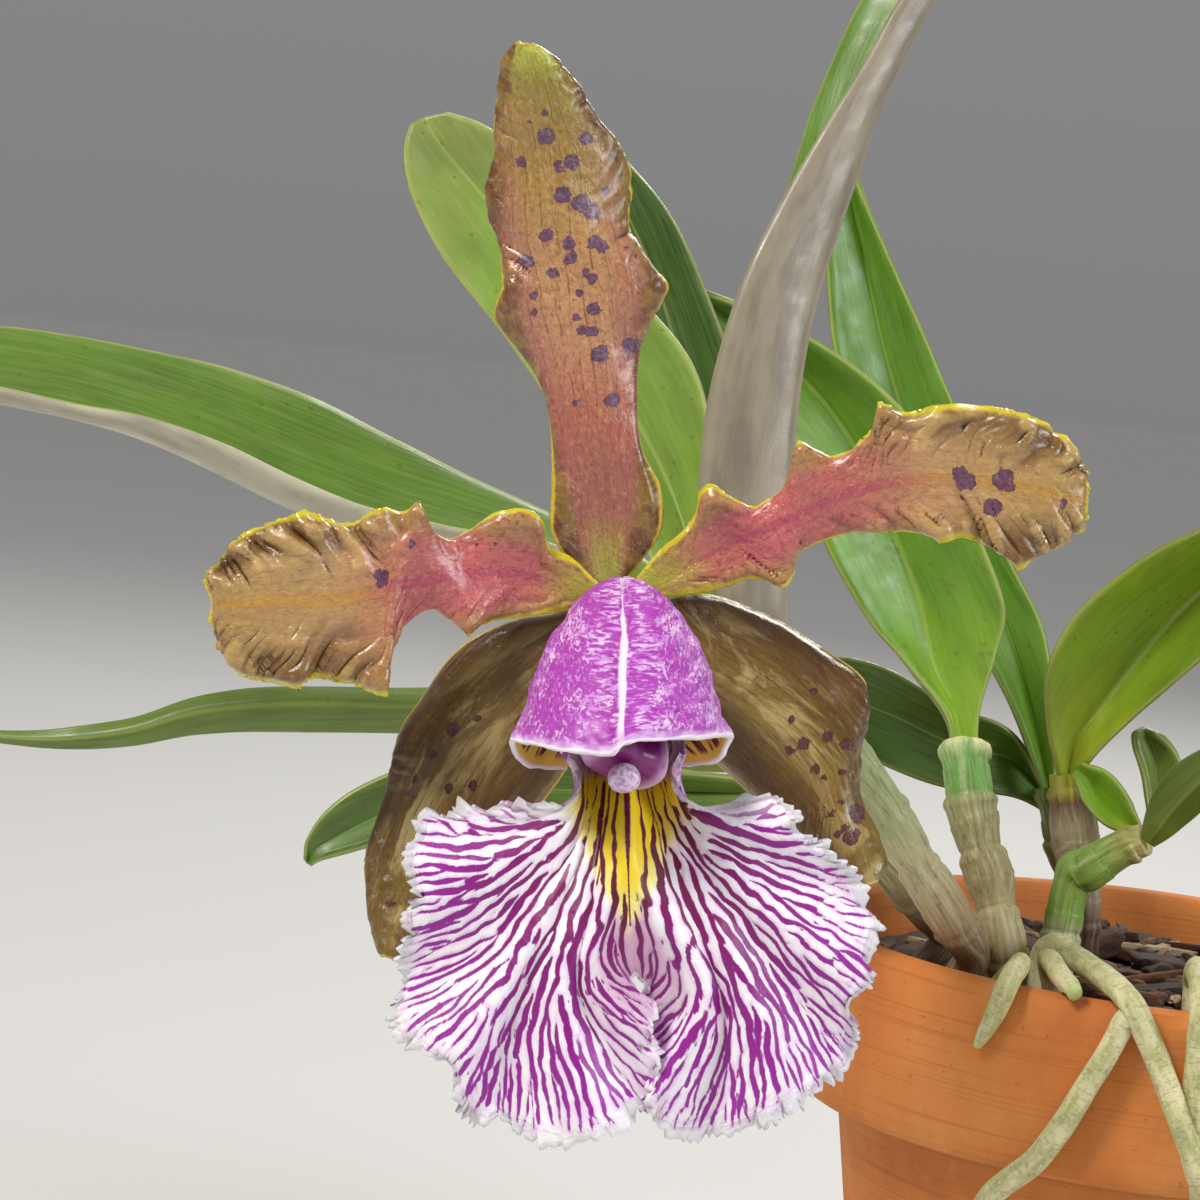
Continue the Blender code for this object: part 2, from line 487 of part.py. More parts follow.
def smooth(x, low, high):
    t = np.clip((x - low) / (high - low), 0, 1)
    return t * t * (3 - 2 * t)


def material(name):
    found = bpy.data.materials.get(name)
    if found:
        return found
    made = bpy.data.materials.new(name)
    made.use_nodes = True
    shader = made.node_tree.nodes["Principled BSDF"]
    *rgb, rough = COLOURS[name]
    shader.inputs["Base Color"].default_value = (*rgb, 1.0)
    shader.inputs["Roughness"].default_value = rough
    shader.inputs["Metallic"].default_value = 0.0
    made.diffuse_color = (*rgb, 1.0)
    return made


def make_object(name, points, faces, colour):
    mesh = bpy.data.meshes.new(name)
    mesh.from_pydata((np.asarray(points) * MM).tolist(), [], [tuple(int(i) for i in f) for f in faces])
    mesh.materials.append(material(colour))
    made = bpy.data.objects.new(name, mesh)
    bpy.context.scene.collection.objects.link(made)
    tidy = bmesh.new()
    tidy.from_mesh(mesh)
    bmesh.ops.recalc_face_normals(tidy, faces=tidy.faces)
    tidy.to_mesh(mesh)
    tidy.free()
    mesh.polygons.foreach_set("use_smooth", [colour != "bark"] * len(mesh.polygons))
    return made


def grid_normals(grid):
    """The normals of a grid, each one eased towards those of its neighbours."""
    along = np.gradient(grid, axis=0)
    across = np.gradient(grid, axis=1)
    normal = np.cross(along, across)
    normal /= np.maximum(np.linalg.norm(normal, axis=-1, keepdims=True), 1e-9)
    wide = np.pad(normal, ((1, 1), (1, 1), (0, 0)), "edge")
    wide = wide[:-2] + 2 * wide[1:-1] + wide[2:]
    eased = wide[:, :-2] + 2 * wide[:, 1:-1] + wide[:, 2:]
    return eased / np.linalg.norm(eased, axis=-1, keepdims=True)


def sheet(name, grid, thick, colour):
    """A blade over a grid of points, thinner at its narrow ends, its two faces split alike."""
    rows, columns = grid.shape[:2]
    width = np.linalg.norm(grid[:, -1] - grid[:, 0], axis=1)
    depth = np.clip(NARROW_END * width, THINNEST, thick)
    offset = grid_normals(grid) * depth[:, None, None] / 2
    points = np.concatenate([(grid + offset).reshape(-1, 3), (grid - offset).reshape(-1, 3)])
    back = rows * columns
    faces = []
    for i in range(rows - 1):
        for j in range(columns - 1):
            a, b = i * columns + j, i * columns + j + 1
            c, d = a + columns, b + columns
            pairs = [(a, b, d), (a, d, c)] if (i + j) % 2 else [(a, b, c), (b, d, c)]
            for p, q, r in pairs:
                faces += [(p, q, r), (back + r, back + q, back + p)]
    rim = [j for j in range(columns)]
    rim += [i * columns + columns - 1 for i in range(1, rows)]
    rim += [(rows - 1) * columns + j for j in range(columns - 2, -1, -1)]
    rim += [i * columns for i in range(rows - 2, 0, -1)]
    for p, q in zip(rim, rim[1:] + rim[:1]):
        faces += [(p, back + p, back + q), (p, back + q, q)]
    return make_object(name, points, faces, colour)


def cross(edges, middle, columns, keel=0.0):
    """Rows across a blade from its left edge over the middle line to its right edge."""
    v = np.linspace(0, 1, columns)[None, :, None]
    left, right = edges[:, None, 0], edges[:, None, 1]
    middle = middle[:, None]
    bent = left * 2 * (v - 0.5) * (v - 1) + middle * 4 * v * (1 - v) + right * 2 * v * (v - 0.5)
    folded = np.where(v < 0.5, left + (middle - left) * 2 * v, middle + (right - middle) * (2 * v - 1))
    return bent * (1 - keel) + folded * keel


def bloom_blade(name, stations, rows, columns, colour):
    stations = np.array(stations, float)
    left, right = stations[:, :3], stations[:, 3:6]
    middle = (left + right) / 2
    middle[:, 2] = stations[:, 6]
    lines = curve(in_bloom(np.stack([left, right, middle], 1)), rows)
    return sheet(name, cross(lines[:, :2], lines[:, 2], columns), PETAL_THICK, colour)


def leaf(name, stations, rows, cane, colour, keel):
    """A leaf, its foot trimmed to sit on its cane."""
    lines = curve(seen(stations), rows)
    made = sheet(name, cross(lines[:, [0, 2]], lines[:, 1], LEAF_COLUMNS, keel), LEAF_THICK, colour)
    combine(made, [grown_cane(cane)], "DIFFERENCE", "MANIFOLD")


def tube(name, spine, rings, sides, colour, grow=0.0):
    """A round piece along its spine, closed at both ends."""
    data = curve([(*place, radius) for place, radius in spine], rings)
    path, radii = data[:, :3], data[:, 3] + grow
    tangent = np.gradient(path, axis=0)
    tangent /= np.linalg.norm(tangent, axis=1, keepdims=True)
    if grow:
        path = path.copy()
        path[0] -= tangent[0] * grow
        path[-1] += tangent[-1] * grow
    side = np.cross(tangent[0], TUBE_SIDE)
    points, faces = [], []
    for place, along, radius in zip(path, tangent, radii):
        side = side - along * (side @ along)
        side /= np.linalg.norm(side)
        other = np.cross(along, side)
        for k in range(sides):
            turn = 2 * math.pi * k / sides
            points.append(place + (side * math.cos(turn) + other * math.sin(turn)) * radius)
    for i in range(rings - 1):
        for k in range(sides):
            a, b = i * sides + k, i * sides + (k + 1) % sides
            faces += [(a, b, b + sides), (a, b + sides, a + sides)]
    first, last = len(points), len(points) + 1
    points += [path[0], path[-1]]
    for k in range(sides):
        after = (k + 1) % sides
        faces += [(first, after, k), (last, (rings - 1) * sides + k, (rings - 1) * sides + after)]
    return make_object(name, points, faces, colour)


def drawn(spine):
    return [(tuple(seen(place)), radius) for place, radius in spine]


def turned(name, profile, sides, colour):
    """A body turned round the upright axis: the profile starts and ends on flat discs."""
    points, faces = [], []
    for radius, height in profile:
        for k in range(sides):
            turn = 2 * math.pi * k / sides
            points.append((radius * math.cos(turn), radius * math.sin(turn), height))
    for i in range(len(profile) - 1):
        for k in range(sides):
            a, b = i * sides + k, i * sides + (k + 1) % sides
            faces += [(a, b, b + sides), (a, b + sides, a + sides)]
    first, last = len(points), len(points) + 1
    points += [(0, 0, profile[0][1]), (0, 0, profile[-1][1])]
    for k in range(sides):
        after = (k + 1) % sides
        faces += [(first, after, k), (last, first - sides + k, first - sides + after)]
    return make_object(name, points, faces, colour)


def remove(objects):
    for made in objects:
        mesh = made.data
        bpy.data.objects.remove(made)
        bpy.data.meshes.remove(mesh)


def combine(target, others, operation, solver="EXACT"):
    """One Boolean with all the others at once, applied; the others are removed."""
    group = bpy.data.collections.new("operands")
    for other in others:
        group.objects.link(other)
    step = target.modifiers.new("step", "BOOLEAN")
    step.operation = operation
    step.solver = solver
    step.operand_type = "COLLECTION"
    step.collection = group
    graph = bpy.context.evaluated_depsgraph_get()
    made = bpy.data.meshes.new_from_object(target.evaluated_get(graph))
    target.modifiers.clear()
    old = target.data
    target.data = made
    bpy.data.meshes.remove(old)
    bpy.data.collections.remove(group)
    remove(others)


def drop_scraps(target):
    """Keeps only the largest body of a mesh."""
    work = bmesh.new()
    work.from_mesh(target.data)
    left, bodies = set(work.verts), []
    while left:
        body, edge = set(), [next(iter(left))]
        while edge:
            vert = edge.pop()
            if vert not in body:
                body.add(vert)
                edge += [link.other_vert(vert) for link in vert.link_edges]
        left -= body
        bodies.append(body)
    bodies.sort(key=len)
    bmesh.ops.delete(work, geom=[vert for body in bodies[:-1] for vert in body], context="VERTS")
    work.to_mesh(target.data)
    work.free()


def pot():
    made = turned("pot", POT_PROFILE, POT_SIDES, "terracotta")
    drains = []
    for k in range(DRAIN_COUNT):
        turn = 2 * math.pi * (k + DRAIN_TURN) / DRAIN_COUNT
        x, y = DRAIN_CIRCLE * math.cos(turn), DRAIN_CIRCLE * math.sin(turn)
        spine = [((x, y, DRAIN_BOTTOM), DRAIN_RADIUS), ((x, y, DRAIN_TOP), DRAIN_RADIUS)]
        drains.append(tube(f"drain_{k}", spine, 2, DRAIN_SIDES, "terracotta"))
    combine(made, drains, "DIFFERENCE")
    made.data.polygons.foreach_set("use_smooth", [True] * len(made.data.polygons))


def chip(rng, index):
    """An irregular block of bark lying on the medium, in a seeded spiral."""
    reach = CHIP_REACH * math.sqrt((index + 0.6) / CHIP_COUNT)
    turn = index * GOLDEN_ANGLE + rng.uniform(-CHIP_STRAY, CHIP_STRAY)
    centre = np.array([reach * math.cos(turn), reach * math.sin(turn), BARK_TOP + rng.uniform(*CHIP_RISE)])
    size = np.array([rng.uniform(*sizes) for sizes in CHIP_HALF_SIZES])
    corners = np.array([(x, y, z) for x in (-1, 1) for y in (-1, 1) for z in (-1, 1)], float)
    corners *= size * np.array([[rng.uniform(*CHIP_CORNER) for _ in range(3)] for _ in range(8)])
    spin, tip = rng.uniform(0, math.pi), rng.uniform(-CHIP_TIP, CHIP_TIP)
    tilt = np.array([[math.cos(tip), 0, math.sin(tip)], [0, 1, 0], [-math.sin(tip), 0, math.cos(tip)]])
    yaw = np.array([[math.cos(spin), -math.sin(spin), 0], [math.sin(spin), math.cos(spin), 0], [0, 0, 1]])
    faces = [(0, 1, 3, 2), (4, 6, 7, 5), (0, 4, 5, 1), (2, 3, 7, 6), (0, 2, 6, 4), (1, 5, 7, 3)]
    return make_object(f"chip_{index}", corners @ tilt.T @ yaw.T + centre, faces, "bark")


def bark(holes):
    rng = random.Random(SEED)
    made = turned("bark", BARK_PROFILE + BARK_TOP_PROFILE, POT_SIDES, "bark")
    combine(made, [chip(rng, k) for k in range(CHIP_COUNT)], "UNION")
    combine(made, holes, "DIFFERENCE")
    drop_scraps(made)


def hood():
    """The lip's side lobes, rolled over the column."""
    rows = curve(np.array(HOOD_ROWS, float), HOOD_STEPS)
    grid = np.zeros((len(rows), HOOD_COLUMNS, 3))
    for i, (centre, y, half, side, rise) in enumerate(rows):
        reach = i / (len(rows) - 1)
        wrap = HOOD_WRAP_START + (1 - HOOD_WRAP_START) * smooth(reach, 0.0, HOOD_WRAP_FULL)
        turn = np.linspace(-1, 1, HOOD_COLUMNS) * HOOD_WRAP * wrap
        under = np.abs(turn) > math.pi / 2
        height = np.where(under, HOOD_UNDER * reach, rise) * np.cos(turn)
        seam = HOOD_SEAM * np.exp(-(turn / HOOD_SEAM_WIDTH) ** 2)
        grid[i, :, 0] = centre + half * np.sin(turn)
        grid[i, :, 1] = y + HOOD_EAR * reach ** 6 * smooth(np.abs(turn), *HOOD_EAR_TURN)
        grid[i, :, 2] = side + height + seam
    return sheet("lip_hood", in_bloom(grid), LIP_THICK, "hood")


def through(at, keys, values):
    """A smooth curve through values at uneven keys, read at each of at."""
    slopes = np.gradient(values, keys, axis=0)
    i = np.clip(np.searchsorted(keys, at, "right") - 1, 0, len(keys) - 2)
    width = (keys[i + 1] - keys[i])[:, None]
    t = (at - keys[i])[:, None] / width
    return (
        (1 + 2 * t) * (1 - t) ** 2 * values[i] + t * (1 - t) ** 2 * width * slopes[i]
        + t * t * (3 - 2 * t) * values[i + 1] + t * t * (t - 1) * width * slopes[i + 1]
    )


def fan_half(margin, rays, neck):
    """The rays of one half of the fan, from the middle outwards; they crowd towards the cleft."""
    number = np.arange(FAN_RAYS + 1)
    steps = 40 * FAN_RAYS
    ends = curve(margin, steps + 1)[np.round((number / FAN_RAYS) ** FAN_CROWD * steps).astype(int)]
    keys = np.array([row[0] for row in rays], float)
    inner = through(number, keys, np.array([np.concatenate(row[1:]) for row in rays], float))
    bends = [np.vstack([neck[i, :2], inner[i].reshape(3, 2), ends[i]]) for i in number]
    return np.array([curve(bend, FAN_STEPS + 1) for bend in bends])


def fan_height(number, s, root):
    """How far a ray of the fan stands out at each s from 0 at the neck to 1 at the margin."""
    where = abs(number) / FAN_RAYS
    crest = FAN_CREST * (1 - FAN_CREST_FADE * where ** 2)
    rise = crest * np.sin(0.5 * math.pi * np.minimum(s * FAN_CREST_SOON, 1.0)) - FAN_DROOP * s ** 2
    ruffle = FAN_RUFFLE * smooth(s, 0.3, 1.0) * smooth(where, 0.1, 0.3) * math.sin(number * FAN_RUFFLE_TURN)
    lap = FAN_LAP * smooth(s, 0.7, 1.0) * smooth(where, 0.02, 0.12) * math.exp(-(where / FAN_LAP_WIDTH) ** 2)
    wall = FAN_WALL * smooth(where, 0.7, 1.0) * np.exp(-((s - FAN_WALL_AT) / FAN_WALL_WIDTH) ** 2)
    return root + rise + ruffle + wall - math.copysign(lap, number)


def fan():
    """The lip's middle lobe: rays from the neck to the ruffled margin, with the cleft below."""
    neck = curve(np.array(FAN_NECK, float), 2 * FAN_RAYS + 1)
    left = fan_half(FAN_MARGIN_LEFT, FAN_RAYS_LEFT, neck[FAN_RAYS::-1])
    right = fan_half(FAN_MARGIN_RIGHT, FAN_RAYS_RIGHT, neck[FAN_RAYS:])
    rays = np.concatenate([left[::-1], right[1:]])
    s = np.linspace(0, 1, FAN_STEPS + 1)
    grid = np.zeros((FAN_STEPS + 1, len(rays), 3))
    for k in range(len(rays)):
        number = k - FAN_RAYS
        out = rays[k, -1] - rays[k, -2]
        out /= np.linalg.norm(out)
        tooth = FAN_TOOTH * (1 if k % 2 else -1) * min(1.0, abs(number) / 3)
        grid[:, k, :2] = rays[k] + out * tooth * smooth(s, FAN_TOOTH_FROM, 1.0)[:, None]
        grid[:, k, 2] = [fan_height(number, step, neck[k, 2]) for step in s]
    return sheet("lip_fan", in_bloom(grid), LIP_THICK, "lip")


def bloom():
    bloom_blade("sepal_upper", SEPAL_UPPER, 25, SEPAL_COLUMNS, "sepal")
    bloom_blade("sepal_left", SEPAL_LEFT, 20, SEPAL_COLUMNS, "sepal")
    bloom_blade("sepal_right", SEPAL_RIGHT, 20, SEPAL_COLUMNS, "sepal")
    bloom_blade("petal_left", PETAL_LEFT, 30, PETAL_COLUMNS, "petal")
    bloom_blade("petal_right", PETAL_RIGHT, 30, PETAL_COLUMNS, "petal")
    hood()
    fan()
    tube("column", [(tuple(in_bloom(place)), radius) for place, radius in COLUMN], 10, 12, "column")
    tube("anther_cap", [(tuple(in_bloom(place)), radius) for place, radius in ANTHER_CAP], 6, 10, "cap")


def cane_spine(name):
    spine, rings = CANES[name]
    return [(CANE_FEET[name], spine[0][1])] + drawn(spine), rings + 1


def grown_cane(name):
    """A cane grown by the gap, to cut what stands against it."""
    spine, rings = cane_spine(name)
    return tube(name + "_hole", spine, rings, CANE_SIDES, "bark", GAP)


def resting(x, y, radius, off):
    """The point under a drawn one where a root rests: on the bark, the rim, or its outside."""
    ray = seen((x, y, 1.0)) - VIEWER
    reach = RIM_OUTER + GAP + radius + off
    level = POT_HEIGHT + GAP + radius + off
    top = VIEWER + ray * (level - VIEWER[2]) / ray[2]
    if math.hypot(top[0], top[1]) < RIM_OUTER:
        return top
    a = ray[0] ** 2 + ray[1] ** 2
    b = VIEWER[0] * ray[0] + VIEWER[1] * ray[1]
    c = VIEWER[0] ** 2 + VIEWER[1] ** 2 - reach ** 2
    return VIEWER + ray * (-b - math.sqrt(b * b - a * c)) / a


def over_rim(spine):
    """The root's smooth path, lifted clear of the rim."""
    data = curve([(*place, radius) for place, radius in spine], 18)
    for row in data:
        clear = row[3] + GAP
        out = math.hypot(row[0], row[1])
        if out < RIM_INNER - clear or out > RIM_OUTER + clear or row[2] > POT_HEIGHT + clear:
            continue
        if POT_HEIGHT + clear - row[2] < RIM_OUTER + clear - out:
            row[2] = POT_HEIGHT + clear
        else:
            row[:2] *= (RIM_OUTER + clear) / out
    return [(tuple(row[:3]), row[3]) for row in data]


def root_spine(points):
    return over_rim([point if len(point) == 2 else (tuple(resting(*point)), point[2]) for point in points])


def canes_and_roots():
    """The round pieces, and the plain holes that they leave in the bark."""
    holes = []
    for name in CANES:
        spine, rings = cane_spine(name)
        tube(name, spine, rings, CANE_SIDES, "cane")
        holes.append(grown_cane(name))
    rhizome = tube("rhizome", RHIZOME, 16, CANE_SIDES, "rhizome")
    combine(rhizome, [grown_cane(name) for name in CANES], "DIFFERENCE")
    holes.append(tube("rhizome_hole", RHIZOME, 16, CANE_SIDES, "bark", GAP))
    roots = {}
    for name, points in ROOTS.items():
        spine = root_spine(points)
        roots[name] = tube(name, spine, ROOT_RINGS, ROOT_SIDES, "root")
        holes.append(tube(name + "_hole", spine, ROOT_RINGS, ROOT_SIDES, "bark", GAP))
    combine(roots["root_a"], [roots["root_b"]], "UNION")
    stem = tube("flower_stem", drawn(FLOWER_STEM), 14, CANE_SIDES, "stem")
    combine(stem, [grown_cane("cane_flower")], "DIFFERENCE")
    return holes


def main():
    for old in list(bpy.data.objects):
        bpy.data.objects.remove(old)
    pot()
    bark(canes_and_roots())
    for name, shape in LEAVES.items():
        leaf(name, *shape)
    bloom()


main()
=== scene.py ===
"""The looks of the cattleya orchid in its clay pot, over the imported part.

Millimetres, turned into metres when a mesh is made. The plant is drawn on a front view: a sheet of 1200 by
1200 units, x to the right and y down, seen from VIEWER. A drawn point is (x, y, depth), with the depth in
millimetres from the viewer. The pieces follow the same stations as the solids, at a much finer step.
Colours are (red, green, blue) as a screen shows them, from 0 to 255.
"""

import functools
import itertools
import math
import random

import bpy
import numpy as np
from mathutils import Matrix, Vector, kdtree

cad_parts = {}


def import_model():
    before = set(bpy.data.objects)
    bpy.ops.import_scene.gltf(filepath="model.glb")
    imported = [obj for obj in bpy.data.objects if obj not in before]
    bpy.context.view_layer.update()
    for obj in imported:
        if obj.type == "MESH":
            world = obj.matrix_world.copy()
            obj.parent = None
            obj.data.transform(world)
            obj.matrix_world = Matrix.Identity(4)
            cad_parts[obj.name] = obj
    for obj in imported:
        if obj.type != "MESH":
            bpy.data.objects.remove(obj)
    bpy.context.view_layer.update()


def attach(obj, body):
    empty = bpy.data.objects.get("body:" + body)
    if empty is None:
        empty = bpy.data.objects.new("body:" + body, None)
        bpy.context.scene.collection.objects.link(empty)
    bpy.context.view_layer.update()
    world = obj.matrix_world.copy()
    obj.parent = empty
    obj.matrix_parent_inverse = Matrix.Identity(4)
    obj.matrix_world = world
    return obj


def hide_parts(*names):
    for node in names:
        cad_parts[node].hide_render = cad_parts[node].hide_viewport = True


# Millimetres as metres, how far a root lies off what it rests on, and the seed of every random draw.
MM = 0.001
GAP = 0.3
SEED = 7

# Steps between two points of a curve, and cells after which the noise repeats.
CURVE_STEPS = 12
CELLS = 128

# Front view.
SHEET_CENTRE = 600.0
SHEET_SIZE = 1200.0
FILM = 36.0
CLIP = (0.02, 50.0)
FOCAL = 2910.0
VIEW_PITCH = math.radians(4.6)
VIEW_ROLL = math.radians(5.8)
RIM_ON_SHEET = (1142.6, 940.9)
RIM_DEPTH = 478.1
BLOOM_DEPTH = 330.0

# Pot.
POT_HEIGHT = 96.0
POT_PROFILE = [
    (35.0, 0.0), (36.2, 1.2), (47.4, 67.6), (54.2, 68.2), (55.3, 69.6), (56.2, 93.6), (55.6, 95.4),
    (54.0, 96.0), (51.8, 95.6), (50.8, 94.0), (43.4, 66.0), (32.0, 9.5), (30.5, 8.0),
]
RIM_INNER = 50.8
RIM_OUTER = 56.2
DRAIN_RADIUS = 5.0
DRAIN_CIRCLE = 18.0
DRAIN_COUNT = 3
DRAIN_TURN = 0.25
DRAIN_BOTTOM, DRAIN_TOP = -2.0, 10.0

# Wall of the pot as shown: sides, longest step of its profile, and how much it wavers.
POT_FINE_SIDES = 168
POT_STEP = 2.2
POT_WAVER = 0.12
POT_SHARP = math.radians(50.0)
DRAIN_FINE_SIDES = 40

# Bark: the main chips stand as in the solid, which draws CHIP_DRAWS numbers more for the corners of each.
BARK_TOP = 88.6
CHIP_COUNT = 30
CHIP_REACH = 41.0
CHIP_HALF_SIZES = [(5.0, 8.5), (3.4, 5.6), (1.8, 3.0)]
CHIP_CORNER = (0.75, 1.05)
CHIP_DRAWS = 24
CHIP_RISE = (-1.2, 1.4)
CHIP_TIP = 0.35
CHIP_STRAY = 0.15
CHIP_SHARE = 0.95
CHIP_STEPS = 7
CHIP_LEAN = 0.3
CHIP_BUMPS = (0.16, 0.07)
GOLDEN_ANGLE = math.radians(137.5)

# Small chips and twigs: how many, how far out, how high over the bark, half sizes and how far they tip.
TWIG_WIDTH = (0.45, 0.95)
CRUMBS = [
    (84, 44.5, (-0.6, 1.3), [(1.6, 3.6), (1.2, 2.4), (0.7, 1.6)], 0.5),
    (36, 38.0, (1.2, 2.9), [(4.0, 9.5), TWIG_WIDTH, TWIG_WIDTH], 0.12),
]
# Tones of the bark, from 0 (dark) to 1 (pale): chips, twigs, how far one may stray, and the floor of crumbs.
CHIP_TONE, TWIG_TONE, TONE_STRAY, FLOOR_TONE = 0.45, 0.8, 0.2, 0.12
FLOOR_WALL = [(31.0, 8.8), (43.0, 66.3), (47.0, 82.0)]
FLOOR_RADII = (47.6, 0.6)
FLOOR_LEVEL = 87.6
FLOOR_SIDES, FLOOR_RINGS = 120, 34

# Blades.
LEAF_THICK = 1.5
PETAL_THICK = 0.9
LIP_THICK = 0.8
THINNEST = 0.6
NARROW_END = 0.3

# A direction that no round piece starts along.
TUBE_SIDE = (0.31, 0.17, 0.93)

# Bloom: stations of (left x, y, height, right x, y, height, middle height) from base to tip. A height is
# in millimetres towards the viewer from the plane of the bloom.
SEPAL_UPPER = [
    (588, 584, -2.2, 626, 582, -2.2, -2.0), (572, 566, -2.0, 642, 560, -2.0, -2.4),
    (553, 532, -0.6, 659, 530, -0.6, -2.6), (556, 490, -0.2, 655, 490, -0.2, -1.6),
    (548, 430, -0.6, 643, 440, -0.6, 0.4), (535, 382, -1.4, 641, 386, -1.6, 1.4),
    (513, 350, -2.6, 648, 344, -2.6, 1.8), (490, 320, -2.0, 664, 312, -1.0, 2.2),
    (499, 288, 0.6, 670, 286, 0.8, 2.2), (494, 250, -1.6, 655, 258, 0.0, 2.4),
    (478, 200, -2.4, 633, 222, -2.6, 2.6), (488, 150, 0.2, 630, 157, -1.4, 3.2),
    (492, 100, 1.6, 604, 120, 1.4, 4.6), (497, 66, 3.4, 578, 82, 3.2, 6.2),
    (508, 49, 5.6, 552, 54, 5.4, 7.4), (520, 43, 7.2, 534, 44, 7.2, 8.0),
]
PETAL_LEFT = [
    (598, 583, -0.9, 600, 605, -0.9, -0.7), (575, 562, -0.2, 572, 609, -0.4, -0.8),
    (548, 549, 0.6, 540, 614, 0.2, -0.6), (538, 518, 3.0, 512, 617, 0.2, 0.4),
    (502, 513, 3.2, 488, 623, 1.6, 1.4), (465, 530, 2.0, 468, 636, 3.0, 2.6),
    (449, 536, 2.6, 451, 624, 2.0, 3.6), (429, 524, 4.6, 430, 612, 3.0, 4.6),
    (420, 501, 6.6, 402, 633, 4.2, 5.6), (400, 511, 5.6, 390, 657, 5.6, 6.8),
    (380, 508, 7.4, 385, 694, 8.2, 6.6), (350, 520, 6.4, 348, 686, 6.0, 7.4),
    (322, 516, 8.2, 318, 679, 7.2, 7.4), (297, 513, 8.8, 297, 688, 8.6, 7.6),
    (264, 523, 6.8, 265, 684, 7.0, 8.4), (239, 536, 7.8, 238, 676, 7.4, 8.2),
    (218, 556, 6.6, 222, 650, 6.4, 7.8), (208, 586, 6.4, 215, 618, 6.4, 7.0),
]
PETAL_RIGHT = [
    (644, 599, -0.9, 637, 577, -0.9, -0.7), (688, 592, -0.2, 660, 551, -0.2, -0.8),
    (724, 584, 0.4, 692, 523, 0.8, -0.4), (756, 577, 1.2, 706, 494, 3.4, 0.6),
    (781, 587, 2.8, 734, 500, 3.0, 1.8), (794, 576, 2.6, 757, 505, 2.4, 2.8),
    (800, 555, 2.2, 786, 480, 3.0, 3.8), (823, 542, 3.0, 797, 442, 5.8, 4.6),
    (855, 535, 4.2, 836, 455, 5.0, 5.6), (890, 535, 5.0, 869, 431, 6.4, 6.4),
    (915, 536, 5.6, 879, 403, 9.0, 7.0), (941, 543, 7.4, 908, 412, 7.6, 7.4),
    (966, 538, 6.8, 941, 405, 8.6, 7.6), (996, 556, 7.6, 976, 405, 7.8, 8.4),
    (1020, 570, 9.2, 1015, 411, 9.0, 8.6), (1047, 558, 7.4, 1050, 424, 7.4, 8.8),
    (1071, 541, 7.0, 1077, 452, 7.4, 8.2), (1086, 517, 6.6, 1088, 487, 6.6, 7.2),
]
SEPAL_LEFT = [
    (592, 600, -2.4, 612, 628, -2.4, -2.2), (556, 612, -3.0, 600, 688, -4.4, -2.4),
    (510, 620, -4.4, 588, 738, -5.4, -2.6), (460, 646, -5.6, 564, 782, -5.4, -3.0),
    (422, 690, -6.2, 536, 816, -5.4, -3.0), (394, 735, -5.4, 507, 850, -5.2, -2.8),
    (380, 790, -6.0, 482, 886, -4.6, -2.4), (363, 848, -5.0, 456, 920, -4.2, -2.0),
    (364, 900, -3.6, 432, 944, -3.4, -1.2), (373, 940, -2.0, 408, 957, -2.2, -0.4),
    (382, 956, -0.6, 393, 959, -0.6, 0.0),
]
SEPAL_RIGHT = [
    (640, 628, -2.4, 654, 602, -2.4, -2.2), (662, 690, -4.4, 688, 595, -3.0, -2.4),
    (698, 750, -5.4, 724, 594, -4.4, -2.6), (738, 785, -5.4, 774, 615, -5.0, -2.8),
    (768, 816, -5.2, 824, 646, -4.6, -2.6), (796, 842, -5.0, 869, 686, -3.0, -2.2),
    (813, 862, -4.6, 862, 745, -5.0, -1.8), (825, 874, -4.0, 862, 792, -5.4, -1.4),
    (838, 884, -3.0, 880, 832, -3.4, -0.8), (850, 888, -2.0, 888, 861, -2.0, 0.0),
    (862, 889, -0.6, 877, 881, -0.6, 0.4),
]

# Side lobes of the lip: rows of (centre x, y, half width, height at the sides, rise of the crown), then how
# far they wrap round the column, the raised seam, the lap beside it, and the tips of the hem.
HOOD_ROWS = [
    (622, 579, 6, 1.2, 0.8), (623, 585, 22, 1.3, 2.4), (624, 597, 39, 1.5, 4.4), (624, 613, 53, 2.0, 6.6),
    (624, 640, 71, 3.2, 9.4), (623, 672, 84, 5.0, 12.0), (622, 704, 93, 7.0, 13.6),
    (621, 728, 99, 8.4, 14.6), (621, 748, 105, 9.4, 14.2),
]
HOOD_WRAP = math.radians(148.0)
HOOD_WRAP_START = 0.66
HOOD_WRAP_FULL = 0.35
HOOD_UNDER = 6.0
HOOD_SEAM = 0.7
HOOD_SEAM_FINE = 0.045
HOOD_SEAM_SWAY = 0.05
HOOD_SEAM_TURNS = 5.0
HOOD_LAP = 0.5
HOOD_TIP = 5.0
HOOD_TIP_TURN = 1.5
HOOD_TIP_WIDTH = 0.2
# The hem: how far down it hangs at each turn round the tube, in sheet units.
HOOD_HEM = [
    (-2.58, 22.0), (-2.1, 21.0), (-1.78, 10.0), (-1.5, -9.0), (-1.0, -2.0), (-0.56, 4.0), (-0.2, 9.0),
    (-0.07, 8.0), (0.02, -2.0), (0.18, -7.0), (0.6, -9.0), (1.3, -12.0), (1.5, -12.0), (1.8, 6.0),
    (2.1, 17.0), (2.58, 20.0),
]
HOOD_HEM_FROM = 0.84

